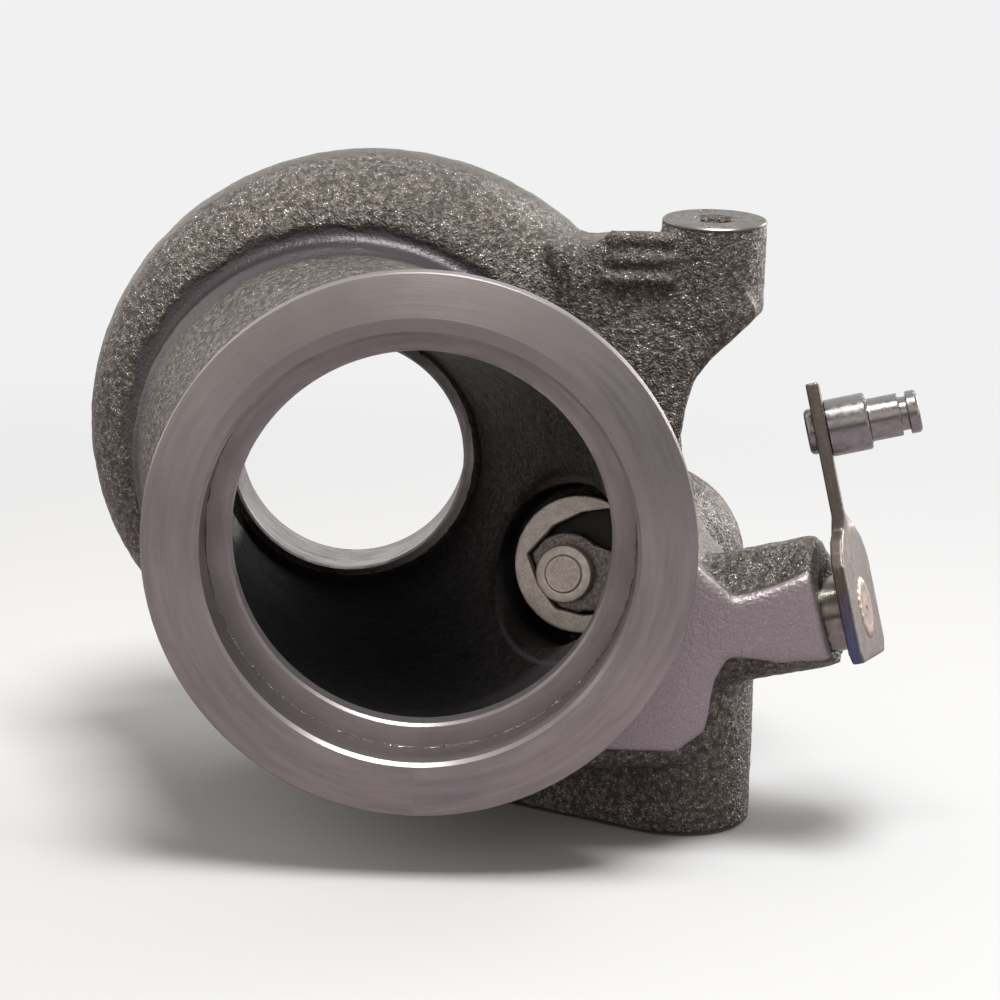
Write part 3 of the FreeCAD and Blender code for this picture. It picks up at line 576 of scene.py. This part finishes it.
def cast_iron():
    """Sand-cast iron: ground along the parting line, smooth and with painted shade in the crease, with painted
    shade in the chamber and a painted highlight on the seat's edge.
    """
    material, tree, shader, where = new_material("cast_iron")
    masks = casting_masks(tree, where)
    calm = masks["face"]
    for name, share in (("plate", 0.75), ("parting", 0.9), ("crease", 0.85), ("chamber", 0.6)):
        calm = math_node(tree, "MAXIMUM", calm, math_node(tree, "MULTIPLY", masks[name], share))
    grain = place_effect(
        tree,
        sand_grain,
        Where=where,
        Deep=(0.09, 0.079, 0.071, 1),
        Middle=(0.19, 0.169, 0.152, 1),
        Bright=(0.85, 0.79, 0.73, 1),
        Grains=1150.0,
        Calm=calm,
    )
    speck = stepped(tree, noise(tree, where, 5200.0, 3.0, 0.7), 0.3, 0.7)
    brushed = stepped(tree, noise(tree, where, 1400.0, 4.0, 0.7), 0.3, 0.7)
    finishes = (
        (masks["parting"], mixed(tree, brushed, (0.13, 0.118, 0.107, 1), (0.22, 0.2, 0.182, 1))),
        # Painted shade: the crease is coloured darker where the sunk line lies in shade; its smoothness is real.
        (masks["crease"], (0.1, 0.088, 0.094, 1)),
        (masks["plate"], mixed(tree, speck, (0.33, 0.285, 0.3, 1), (0.44, 0.385, 0.405, 1))),
        # Painted shade: near-black colour inside the chamber.
        (masks["painted_chamber_shade"], (0.01, 0.01, 0.012, 1)),
        # Painted highlight on the seat's edge.
        (math_node(tree, "MULTIPLY", masks["painted_seat_highlight"], 0.3), (0.3, 0.3, 0.32, 1)),
        (masks["face"], (0.42, 0.4, 0.38, 1)),
    )
    color = grain.outputs["Color"]
    for mask, finish in finishes:
        color = mixed(tree, mask, color, finish)
    dull = math_node(tree, "MULTIPLY", masks["painted_chamber_shade"], 0.85)
    dull = math_node(tree, "MAXIMUM", grain.outputs["Roughness"], dull)
    tree.links.new(color, shader.inputs["Base Color"])
    tree.links.new(dull, shader.inputs["Roughness"])
    shader.inputs["Metallic"].default_value = 0.8
    bump(tree, shader, grain.outputs["Height"], 0.0004)
    return material


iron = cast_iron()
casting.data.materials.clear()
casting.data.materials.append(iron)
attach(casting, "housing")
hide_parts("turbine_housing")

# Turned faces of the casting
# The outlet ring, the turbine bore, the bearing side's rim and the tapped boss are cut on a lathe
# or mill after casting, so they are crisp, smooth and brighter than the sand-cast skin.

OUTLET_SECTION = [
    (9.6, 32.1),
    (8.3, 33.0),
    (7.7, 33.25),
    (4.95, 36.85),
    (4.7, 37.0),
    (1.95, 37.0),
    (1.72, 36.85),
    (0.03, 31.35),
    (0.0, 31.15),
    (0.0, 29.5),
    (0.5, 29.0),
    (7.1, 29.0),
    (7.3, 29.15),
    (7.5, 29.0),
    (7.5, 26.1),
    (7.85, 25.7),
    (10.7, 25.7),
    (11.1, 26.1),
    (11.15, 28.6),
    (11.0, 30.6),
]
BORE_SECTION = [
    (-35.6, 18.7),
    (-35.95, 17.25),
    (-35.85, 16.9),
    (-24.9, 16.9),
    (-23.6, 17.25),
    (-22.4, 18.0),
    (-21.5, 18.9),
    (-21.03, 19.7),
    (-21.03, 20.3),
    (-23.0, 20.3),
    (-27.0, 18.9),
]
TAP_SECTION = [
    (0.0, 3.1),
    (0.0, 7.4),
    (-0.2, 7.6),
    (-0.4, 7.6),
    (-0.5, 7.3),
    (-9.5, 3.4),
    (-9.5, 2.5),
] + [(-9.2 + 0.4 * turn, 2.78 if turn % 2 else 2.5) for turn in range(22)]
BEARING_SECTION = [
    (-12.6, 30.9),
    (-11.6, 31.45),
    (-10.5, 30.0),
    (-6.0, 30.0),
    (-4.1, 34.35),
    (-3.9, 34.5),
    (-1.0, 34.5),
    (0.0, 33.5),
    (0.0, 27.9),
    (-0.4, 27.5),
    (-5.85, 27.5),
    (-6.0, 27.35),
    (-6.0, 24.8),
    (-6.3, 24.5),
    (-13.45, 24.5),
    (-13.45, 26.0),
    (-12.6, 28.5),
]


def lathe(name, section, place, turns=180):
    """A closed section of (along, radius) millimetres turned about the X axis of a place."""
    points, faces = turned_faces(section, place, turns)
    mesh = bpy.data.meshes.new(name)
    mesh.from_pydata(points, [], faces)
    mesh.update()
    return shade(link(name, mesh))


def facing_out(item):
    """Turn the faces of a closed mesh outwards."""
    work = bmesh.new()
    work.from_mesh(item.data)
    bmesh.ops.remove_doubles(work, verts=work.verts, dist=1e-7)
    bmesh.ops.recalc_face_normals(work, faces=work.faces)
    work.to_mesh(item.data)
    work.free()
    return shade(item)


def turned_metal(name, place, dark, light, rough, lines=9000.0, depth=0.00002, stain=0.5, metal=1.0):
    """Metal cut on a lathe, with fine rings about the X axis of a place and patches of stain."""
    material, tree, shader, where = new_material(name)
    local = axis_coordinates(tree, where, place)
    marks = place_effect(tree, tool_marks, Where=local, Lines=lines, Across=1.0)
    streak = math_node(tree, "MULTIPLY", marks.outputs["Streak"], 0.6)
    patch = math_node(tree, "MULTIPLY", marks.outputs["Stain"], stain)
    tone = stepped(tree, math_node(tree, "ADD", streak, patch), 0.3, 0.8)
    tree.links.new(mixed(tree, tone, dark, light), shader.inputs["Base Color"])
    gloss = stepped(tree, marks.outputs["Streak"], 0.3, 0.7, rough + 0.07, rough - 0.06)
    tree.links.new(gloss, shader.inputs["Roughness"])
    shader.inputs["Metallic"].default_value = metal
    height = math_node(tree, "ADD", marks.outputs["Mark"], streak)
    bump(tree, shader, height, depth)
    return material


def finish_piece(item, body, slot, *replaced):
    """Tie a finished piece to its body and hide the solids that it stands for; the finish's name is not used."""
    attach(item, body)
    if replaced:
        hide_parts(*replaced)
    return item


outlet_place = frame_along(outlet_centre * MM, (0, 1, 0))
rotor_place = frame_along((0, 0, 0), (0, 1, 0))
outlet_ring = facing_out(lathe("outlet_ring_face", OUTLET_SECTION, outlet_place, 240))
turbine_bore = facing_out(lathe("turbine_bore_face", BORE_SECTION, rotor_place))
bearing_rim = facing_out(lathe("bearing_rim_face", BEARING_SECTION, rotor_place, 240))
TAP_RISE = 6.5
tap_mount = mounts["bracket_boss"]
tap_place = frame_along(tap_mount["pos_m"], tap_mount["axis"])
tap_place = tap_place @ Matrix.Translation((TAP_RISE * MM, 0, 0))
tapped_boss = facing_out(lathe("tapped_boss_face", TAP_SECTION, tap_place, 96))
ring_metal = turned_metal(
    "turned_iron",
    outlet_place,
    dark=(0.3, 0.27, 0.272, 1),
    light=(0.42, 0.38, 0.382, 1),
    rough=0.4,
    lines=6000.0,
    depth=0.000015,
)
bore_metal = turned_metal(
    "bored_iron", rotor_place, dark=(0.13, 0.12, 0.12, 1), light=(0.52, 0.5, 0.48, 1), rough=0.3
)
boss_metal = turned_metal(
    "milled_iron",
    tap_place,
    dark=(0.14, 0.123, 0.115, 1),
    light=(0.25, 0.225, 0.21, 1),
    rough=0.38,
    lines=2500.0,
    depth=0.00003,
)
for item, metal in (
    (outlet_ring, ring_metal),
    (turbine_bore, bore_metal),
    (bearing_rim, bore_metal),
    (tapped_boss, boss_metal),
):
    item.data.materials.append(metal)
    finish_piece(item, "housing", "cast_housing", "turbine_housing")

# Wastegate bush and shaft
# A heat-proof steel sleeve is pressed into the casting's arm, and its turned end stands out
# towards the lever. The ground shaft turns in it and is welded to the lever and the inner arm.

BUSH_START, BUSH_END, BUSH_RADIUS, SHAFT_RADIUS = 14.0, 36.5, 5.3, 3.5
bush_section = [
    (BUSH_START, SHAFT_RADIUS + 0.05),
    (BUSH_START, BUSH_RADIUS),
    (BUSH_END - 0.7, BUSH_RADIUS),
    (BUSH_END - 0.25, BUSH_RADIUS - 0.15),
    (BUSH_END, BUSH_RADIUS - 0.6),
    (BUSH_END, SHAFT_RADIUS + 0.3),
    (BUSH_END - 0.3, SHAFT_RADIUS + 0.05),
]
bush = facing_out(lathe("bush_sleeve", bush_section, shaft_place))
bush_steel = turned_metal(
    "bush_steel",
    shaft_place,
    dark=(0.24, 0.215, 0.19, 1),
    light=(0.46, 0.42, 0.38, 1),
    rough=0.2,
    depth=0.000005,
    stain=0.3,
)
bush.data.materials.append(bush_steel)
finish_piece(bush, "housing", "bush_steel", "wastegate_bush")
shaft_steel = turned_metal(
    "shaft_steel", shaft_place, dark=(0.24, 0.21, 0.19, 1), light=(0.42, 0.39, 0.36, 1), rough=0.32
)


def refinish(node, material):
    """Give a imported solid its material."""
    mesh = frame["nodes"][node].data
    mesh.materials.clear()
    mesh.materials.append(material)


refinish("wastegate_shaft", shaft_steel)

# Valve arm
# An investment-cast arm of heat-proof alloy. Its hub is welded on the shaft's inner end and its
# eye holds the valve's stem with a little play.

ARM_VOXEL = 0.2 * MM
SMALL_FACES = 60_000


def softened(name, node, voxel, passes):
    """A node's solid with its corners rounded a little, as on a forged or cast piece."""
    item = link(name, frame["nodes"][node].data.copy())
    item = remeshed(item, voxel)
    move_points(item.data, relaxed(item.data, FULL_PULL, passes))
    thin = item.modifiers.new("thin", "DECIMATE")
    thin.ratio = min(1.0, SMALL_FACES / (2 * len(item.data.polygons)))
    item = shade(settled(item), 50)
    item.data.materials.clear()
    return item


def cast_alloy():
    """Brown-grey heat-proof alloy with a fine cast skin."""
    material, tree, shader, where = new_material("cast_alloy")
    grain = place_effect(
        tree,
        sand_grain,
        Where=where,
        Deep=(0.16, 0.14, 0.13, 1),
        Middle=(0.34, 0.3, 0.28, 1),
        Bright=(0.6, 0.55, 0.5, 1),
        Grains=2400.0,
        Calm=0.6,
    )
    tree.links.new(grain.outputs["Color"], shader.inputs["Base Color"])
    tree.links.new(grain.outputs["Roughness"], shader.inputs["Roughness"])
    shader.inputs["Metallic"].default_value = 0.75
    bump(tree, shader, grain.outputs["Height"], 0.0001)
    return material


alloy = cast_alloy()
arm = softened("arm_casting", "valve_arm", ARM_VOXEL, 4)
arm.data.materials.append(alloy)
finish_piece(arm, "crank", "arm_alloy", "valve_arm")

# Welds of the crank
# One bead closes the arm's hub over the shaft's inner end, and a larger one holds the lever on
# its outer end. The heat left straw, pink and green colours round the outer bead.

LEVER_FACE = 38.6
BEAD_RIPPLES, BEAD_SWELL = 22, 0.02


def color_run(tree, value, first, *others):
    """A run of colours over a value, each given with its place on the run."""
    ramp = add_node(tree, "ShaderNodeValToRGB", None, Fac=value)
    elements = ramp.color_ramp.elements
    elements[0].position, elements[0].color = first
    elements[1].position, elements[1].color = others[-1]
    for position, color in others[:-1]:
        elements.new(position).color = color
    return ramp.outputs["Color"]


def weld_metal():
    """Weld metal with ripples and heat colours."""
    material, tree, shader, where = new_material("weld_metal")
    ripple = noise(tree, where, 1500.0, 3.0, 0.6)
    heat = noise(tree, where, 330.0, 1.0, 0.5)
    straw, pink = (0.34, 0.29, 0.25, 1), (0.4, 0.26, 0.235, 1)
    cream, green = (0.4, 0.335, 0.285, 1), (0.25, 0.3, 0.22, 1)
    tints = color_run(tree, heat, (0.34, straw), (0.47, pink), (0.56, cream), (0.66, green))
    tree.links.new(tints, shader.inputs["Base Color"])
    tree.links.new(stepped(tree, ripple, 0.3, 0.7, 0.36, 0.52), shader.inputs["Roughness"])
    shader.inputs["Metallic"].default_value = 0.85
    bump(tree, shader, ripple, 0.0001)
    return material


def bead(name, section, place, ripples, swell):
    """A weld bead: a turned section whose outer part swells and sinks round the joint."""
    item = lathe(name, section, place, 8 * ripples)
    inverse = place.inverted()
    for vertex in item.data.vertices:
        local = inverse @ vertex.co
        angle = math.atan2(local.z, local.y)
        scale = 1 + swell * (math.sin(ripples * angle) + 0.6 * math.sin(5 * angle + 1.0))
        vertex.co = place @ Vector((local.x, local.y * scale, local.z * scale))
    return facing_out(item)


bead_section = [
    (LEVER_FACE - 0.1, 0.4),
    (LEVER_FACE - 0.1, 4.2),
    (LEVER_FACE + 0.02, 4.3),
    (LEVER_FACE + 0.14, 4.1),
    (LEVER_FACE + 0.22, 3.7),
    (LEVER_FACE + 0.26, 3.2),
    (LEVER_FACE + 0.2, 2.7),
    (LEVER_FACE + 0.16, 2.2),
    (LEVER_FACE + 0.2, 1.2),
    (LEVER_FACE + 0.22, 0.4),
]
weld = weld_metal()
outer_bead = bead("lever_bead", bead_section, shaft_place, BEAD_RIPPLES, BEAD_SWELL)
outer_bead.data.materials.append(weld)
finish_piece(outer_bead, "crank", "weld_metal", "lever_weld")
refinish("arm_weld", weld)

# Wastegate valve
# A thick round plate that closes the port, with a raised rim open towards the arm. Its stem goes
# through the arm's eye and is peened over a washer, so the valve can settle on its seat.

STEM_END, WASHER_BACK, WASHER_RADIUS, STEM_RADIUS = -2.35, -0.7, 4.2, 2.7
POCKET_DEPTHS = (-0.6, 1.4)
CROSS_REACH, CROSS_WIDTH = (1.7, 1.3), (0.8, 0.5)


def valve_alloy():
    """Matte tan-grey alloy with painted shade in the pocket and faint marks round the stem."""
    material, tree, shader, where = new_material("valve_alloy")
    local = axis_coordinates(tree, where, stem_place)
    marks = place_effect(tree, tool_marks, Where=local, Lines=5000.0, Across=0.3)
    depth = add_node(tree, "ShaderNodeSeparateXYZ", None, Vector=local).outputs["X"]
    # Painted shade: the pocket's floor is coloured near black where it lies in shadow.
    pocket_shade = stepped(tree, depth, *in_metres(POCKET_DEPTHS))
    speckle = noise(tree, where, 3500.0, 2.0, 0.6)
    dots = math_node(tree, "MULTIPLY", speckle, 0.5)
    tone = math_node(tree, "ADD", dots, math_node(tree, "MULTIPLY", marks.outputs["Streak"], 0.5))
    rim = mixed(tree, stepped(tree, tone, 0.35, 0.65), (0.66, 0.585, 0.52, 1), (0.9, 0.83, 0.76, 1))
    tree.links.new(mixed(tree, pocket_shade, rim, (0.03, 0.026, 0.026, 1)), shader.inputs["Base Color"])
    shader.inputs["Metallic"].default_value = 0.55
    tree.links.new(stepped(tree, speckle, 0.3, 0.7, 0.58, 0.46), shader.inputs["Roughness"])
    bump(tree, shader, speckle, 0.00006)
    return material


valve_metal = valve_alloy()
valve = softened("valve_plate", "valve_disc", 0.16 * MM, 3)
valve.data.materials.append(valve_metal)
finish_piece(valve, "valve", "valve_alloy", "valve_disc")

washer_section = [
    (WASHER_BACK, STEM_RADIUS - 0.1),
    (WASHER_BACK, WASHER_RADIUS - 0.1),
    (WASHER_BACK - 0.15, WASHER_RADIUS),
    (WASHER_BACK - 1.0, WASHER_RADIUS),
    (WASHER_BACK - 1.3, WASHER_RADIUS - 0.2),
    (WASHER_BACK - 1.4, WASHER_RADIUS - 0.5),
    (WASHER_BACK - 1.4, STEM_RADIUS + 0.15),
    (WASHER_BACK - 1.25, STEM_RADIUS - 0.1),
]
stem_section = [
    (WASHER_BACK - 0.9, 0.05),
    (WASHER_BACK - 0.9, STEM_RADIUS - 0.25),
    (WASHER_BACK - 1.3, STEM_RADIUS - 0.05),
    (STEM_END + 0.12, STEM_RADIUS + 0.02),
    (STEM_END, STEM_RADIUS - 0.2),
    (STEM_END + 0.02, 1.75),
    (STEM_END + 0.14, 1.62),
    (STEM_END + 0.05, 1.45),
    (STEM_END + 0.04, 0.7),
    (STEM_END + 0.1, 0.05),
]
washer = facing_out(lathe("washer_ring", washer_section, stem_place, 96))
stem_head = facing_out(lathe("stem_head", stem_section, stem_place, 96))


def cross_dimple_shade(material):
    """Painted shade of the cross-shaped dimple in the middle of the peened stem, added to its material."""
    tree = material.node_tree
    shader = tree.nodes["Principled BSDF"]
    where = tree.nodes.new("ShaderNodeTexCoord").outputs["Object"]
    local = axis_coordinates(tree, where, stem_place)
    parts = add_node(tree, "ShaderNodeSeparateXYZ", None, Vector=local)
    wide, tall = (math_node(tree, "ABSOLUTE", parts.outputs[name]) for name in "YZ")
    bars = []
    for reach, width in ((wide, tall), (tall, wide)):
        ends = stepped(tree, reach, *in_metres(CROSS_REACH))
        bars.append(all_of(tree, ends, stepped(tree, width, *in_metres(CROSS_WIDTH))))
    # Painted shade: the dimple's cross is coloured darker instead of being cut into the head.
    cross = math_node(tree, "MULTIPLY", math_node(tree, "MAXIMUM", *bars), 0.75)
    plain = shader.inputs["Base Color"].links[0].from_socket
    tree.links.new(mixed(tree, cross, plain, (0.28, 0.24, 0.2, 1)), shader.inputs["Base Color"])


washer_metal = turned_metal(
    "washer_steel",
    stem_place,
    dark=(0.7, 0.62, 0.54, 1),
    light=(0.95, 0.88, 0.79, 1),
    rough=0.4,
    lines=7000.0,
    depth=0.00004,
    metal=0.6,
)
cross_dimple_shade(washer_metal)
washer.data.materials.append(washer_metal)
stem_head.data.materials.append(washer_metal)
finish_piece(washer, "valve", "pin_steel", "valve_washer")
finish_piece(stem_head, "valve", "valve_alloy", "valve_disc")

# Outer lever
# A bent plate welded on the shaft's end. Its long edge is heat-tinted from brown at the strap
# through purple to blue at the foot's bottom, and its outer face is light and bare.

LEVER_LEAN = 8.5
TINT_HEIGHTS, BARE_TOP = (-8.0, 16.0), (13.0, 11.5)
lever_place = shaft_place @ Matrix.Rotation(math.radians(-LEVER_LEAN), 4, "X")


def lever_steel():
    """Plate steel with heat tint along its edges and a bare, faintly stained outer face."""
    material, tree, shader, where = new_material("lever_steel")
    local = axis_coordinates(tree, where, lever_place)
    parts = add_node(tree, "ShaderNodeSeparateXYZ", None, Vector=local)
    station, up = parts.outputs["X"], parts.outputs["Z"]
    uneven = math_node(tree, "SUBTRACT", noise(tree, where, 260.0, 2.0), 0.5)
    level = math_node(tree, "ADD", up, math_node(tree, "MULTIPLY", uneven, 0.006))
    blue, purple = (0.085, 0.1, 0.2, 1), (0.1, 0.07, 0.12, 1)
    brown, plain = (0.12, 0.085, 0.065, 1), (0.15, 0.125, 0.11, 1)
    level = stepped(tree, level, *in_metres(TINT_HEIGHTS))
    tint = color_run(tree, level, (0.1, blue), (0.32, purple), (0.5, brown), (0.9, plain))
    drawn = add_node(tree, "ShaderNodeMapping", None, Vector=local, Scale=(1, 1, 0.12)).outputs[0]
    mill = noise(tree, drawn, 3000.0, 3.0, 0.6)
    grain = noise(tree, where, 1800.0, 3.0, 0.6)
    outside = stepped(tree, station, *in_metres((LEVER_FACE - 0.28, LEVER_FACE - 0.08)))
    face = all_of(tree, outside, stepped(tree, up, *in_metres(BARE_TOP)))
    grey = stepped(tree, grain, 0.35, 0.7)
    bare = mixed(tree, grey, (0.18, 0.165, 0.15, 1), (0.28, 0.255, 0.23, 1))
    heat = stepped(tree, noise(tree, where, 420.0, 1.0), 0.5, 0.7, 0.0, 0.55)
    bare = mixed(tree, heat, bare, (0.38, 0.26, 0.24, 1))
    tinted = mixed(tree, stepped(tree, mill, 0.35, 0.7, 0.0, 0.35), tint, (0.3, 0.27, 0.25, 1))
    tree.links.new(mixed(tree, face, tinted, bare), shader.inputs["Base Color"])
    shader.inputs["Metallic"].default_value = 0.9
    tree.links.new(stepped(tree, mill, 0.3, 0.7, 0.42, 0.32), shader.inputs["Roughness"])
    bump(tree, shader, math_node(tree, "ADD", mill, grain), 0.00004)
    return material


lever = softened("lever_plate", "outer_lever", 0.17 * MM, 9)
lever.data.materials.append(lever_steel())
finish_piece(lever, "crank", "lever_steel", "outer_lever")

# Actuator pin
# A bright turned steel pin, riveted through the lever's strap. The actuator's rod sits on its
# journal against the shoulder, and a clip goes in the groove near its tip.

JOURNAL_HALF = 2.2
SHOULDER_START = -JOURNAL_HALF - 5.8
STRAP = 1.8
RIVET_END = SHOULDER_START - STRAP - 1.1
pin_mount = mounts["actuator_rod_pin"]
pin_place = frame_along(pin_mount["pos_m"], pin_mount["axis"])
pin_section = [
    (RIVET_END + 0.15, 0.05),
    (RIVET_END, 0.5),
    (RIVET_END, 2.7),
    (RIVET_END + 0.25, 3.1),
    (RIVET_END + 0.7, 3.25),
    (RIVET_END + 1.1, 3.2),
    (RIVET_END + 1.12, 2.5),
    (SHOULDER_START, 2.5),
    (SHOULDER_START, 3.8),
    (SHOULDER_START + 0.2, 4.0),
    (-JOURNAL_HALF - 0.3, 4.0),
    (-JOURNAL_HALF - 0.05, 3.8),
    (-JOURNAL_HALF, 3.3),
    (-JOURNAL_HALF + 0.15, 3.02),
    (-JOURNAL_HALF + 0.4, 3.0),
    (JOURNAL_HALF - 0.12, 3.0),
    (JOURNAL_HALF, 2.9),
    (JOURNAL_HALF + 0.02, 2.4),
    (JOURNAL_HALF + 0.1, 2.35),
    (JOURNAL_HALF + 1.0, 2.35),
    (JOURNAL_HALF + 1.08, 2.4),
    (JOURNAL_HALF + 1.1, 2.9),
    (JOURNAL_HALF + 1.22, 3.0),
    (JOURNAL_HALF + 2.3, 3.0),
    (JOURNAL_HALF + 2.6, 2.75),
    (JOURNAL_HALF + 2.7, 2.5),
    (JOURNAL_HALF + 2.68, 0.05),
]
pin = facing_out(lathe("pin_turning", pin_section, pin_place, 128))
pin_steel = turned_metal(
    "pin_steel",
    pin_place,
    dark=(0.27, 0.25, 0.25, 1),
    light=(0.44, 0.41, 0.41, 1),
    rough=0.25,
    depth=0.000003,
    stain=0.3,
)
pin.data.materials.append(pin_steel)
finish_piece(pin, "crank", "pin_steel", "actuator_pin")

# Camera and stage
# The housing stands on its inlet flange on a pale sheet, seen from the outlet's side through a
# long lens. A soft lamp hangs over it, and another lights its right edge from behind.

CAMERA_PLACE = Vector((30.626, -465.615, 89.482)) * MM
CAMERA_YAW, CAMERA_PITCH, CAMERA_ROLL = 1.1, 77.45, 1.3
camera = link("camera", bpy.data.cameras.new("camera"))
camera.data.lens = 108
camera.data.sensor_width = 36
camera.data.clip_start = 0.01
aim = Matrix.Translation(CAMERA_PLACE)
for turn, axis in ((CAMERA_YAW, "Z"), (CAMERA_PITCH, "X"), (CAMERA_ROLL, "Z")):
    aim = aim @ Matrix.Rotation(math.radians(turn), 4, axis)
camera.matrix_world = aim
bpy.context.scene.camera = camera
bpy.context.scene.view_settings.view_transform = "Standard"


def soft_lamp(name, point, target, size, power):
    """A square soft lamp that looks at a target."""
    lamp = bpy.data.lights.new(name, "AREA")
    lamp.energy = power
    lamp.size = size
    point, target = Vector(point), Vector(target)
    turn = (target - point).to_track_quat("-Z", "Y").to_matrix().to_4x4()
    link(name, lamp).matrix_world = Matrix.Translation(point) @ turn


soft_lamp("top_lamp", (0.1, -0.2, 0.62), (0, -0.03, 0), size=0.26, power=6.0)
soft_lamp("rim_lamp", (0.66, 0.6, 0.24), (0.03, -0.03, 0), size=0.4, power=4.5)

SWEEP_LIGHT, LEFT_LIGHT, RIGHT_LIGHT, BOX_LIGHT, ROOM_LIGHT = 0.75, 0.8, 0.7, 0.9, 0.1
BOX_DIRECTION = (0.05, -0.87, 0.48)
world = bpy.data.worlds.new("studio")
bpy.context.scene.world = world
world.use_nodes = True


def studio_light():
    """The room's light: a white sweep behind, walls at the sides, a soft box over the camera."""
    tree = world.node_tree
    direction = tree.nodes.new("ShaderNodeTexCoord").outputs["Generated"]
    x, y, z = add_node(tree, "ShaderNodeSeparateXYZ", None, Vector=direction).outputs
    options = {"operation": "DOT_PRODUCT"}
    towards_box = add_node(tree, "ShaderNodeVectorMath", options, _0=direction, _1=BOX_DIRECTION)
    behind = stepped(tree, y, 0.05, 0.5, 0.0, SWEEP_LIGHT)
    left = stepped(tree, x, -0.2, -0.7, 0.0, LEFT_LIGHT)
    right = stepped(tree, x, 0.6, 0.9, 0.0, RIGHT_LIGHT)
    over = stepped(tree, towards_box.outputs["Value"], 0.9, 0.98, 0.0, BOX_LIGHT)
    warm = math_node(tree, "ADD", math_node(tree, "ADD", left, over), right)
    warm = mixed(tree, warm, (0, 0, 0, 1), (1.0, 0.93, 0.87, 1))
    color = mixed(tree, math_node(tree, "ADD", behind, ROOM_LIGHT), (0, 0, 0, 1), (1, 1, 1, 1))
    color = mixed(tree, 1.0, color, warm, "ADD")
    tree.links.new(color, tree.nodes["Background"].inputs["Color"])


studio_light()


SHADOW_MIDDLE, SHADOW_EDGE = (0.0, -0.02), (0.09, 0.36)


def paper():
    """Pale paper that takes the shadow near the housing and runs out into even white."""
    material, tree, shader, where = new_material("paper")
    path = tree.nodes.new("ShaderNodeLightPath")
    seen = path.outputs["Is Camera Ray"]
    tone = mixed(tree, seen, (0.3, 0.27, 0.285, 1), (0.52, 0.52, 0.52, 1))
    tree.links.new(tone, shader.inputs["Base Color"])
    shader.inputs["Roughness"].default_value = 0.9
    shader.inputs["Specular IOR Level"].default_value = 0.0
    glow = add_node(tree, "ShaderNodeEmission", None, Color=(0.88, 0.88, 0.885, 1), Strength=1.0)
    x, y, _ = add_node(tree, "ShaderNodeSeparateXYZ", None, Vector=where).outputs
    away = stepped(tree, radius_about(tree, x, y, SHADOW_MIDDLE), *SHADOW_EDGE)
    sheet = add_node(tree, "ShaderNodeMixShader", None, Fac=all_of(tree, seen, away))
    tree.links.new(shader.outputs[0], sheet.inputs[1])
    tree.links.new(glow.outputs[0], sheet.inputs[2])
    tree.links.new(sheet.outputs[0], tree.nodes["Material Output"].inputs["Surface"])
    return material


FLOOR_HALF = 6.0
floor_height = cad_box[0].z
floor_mesh = bpy.data.meshes.new("floor")
corners = [
    (side * FLOOR_HALF, end * FLOOR_HALF, floor_height)
    for side, end in ((-1, -1), (1, -1), (1, 1), (-1, 1))
]
floor_mesh.from_pydata(corners, [], [(0, 1, 2, 3)])
floor = link("floor", floor_mesh)
floor.data.materials.append(paper())
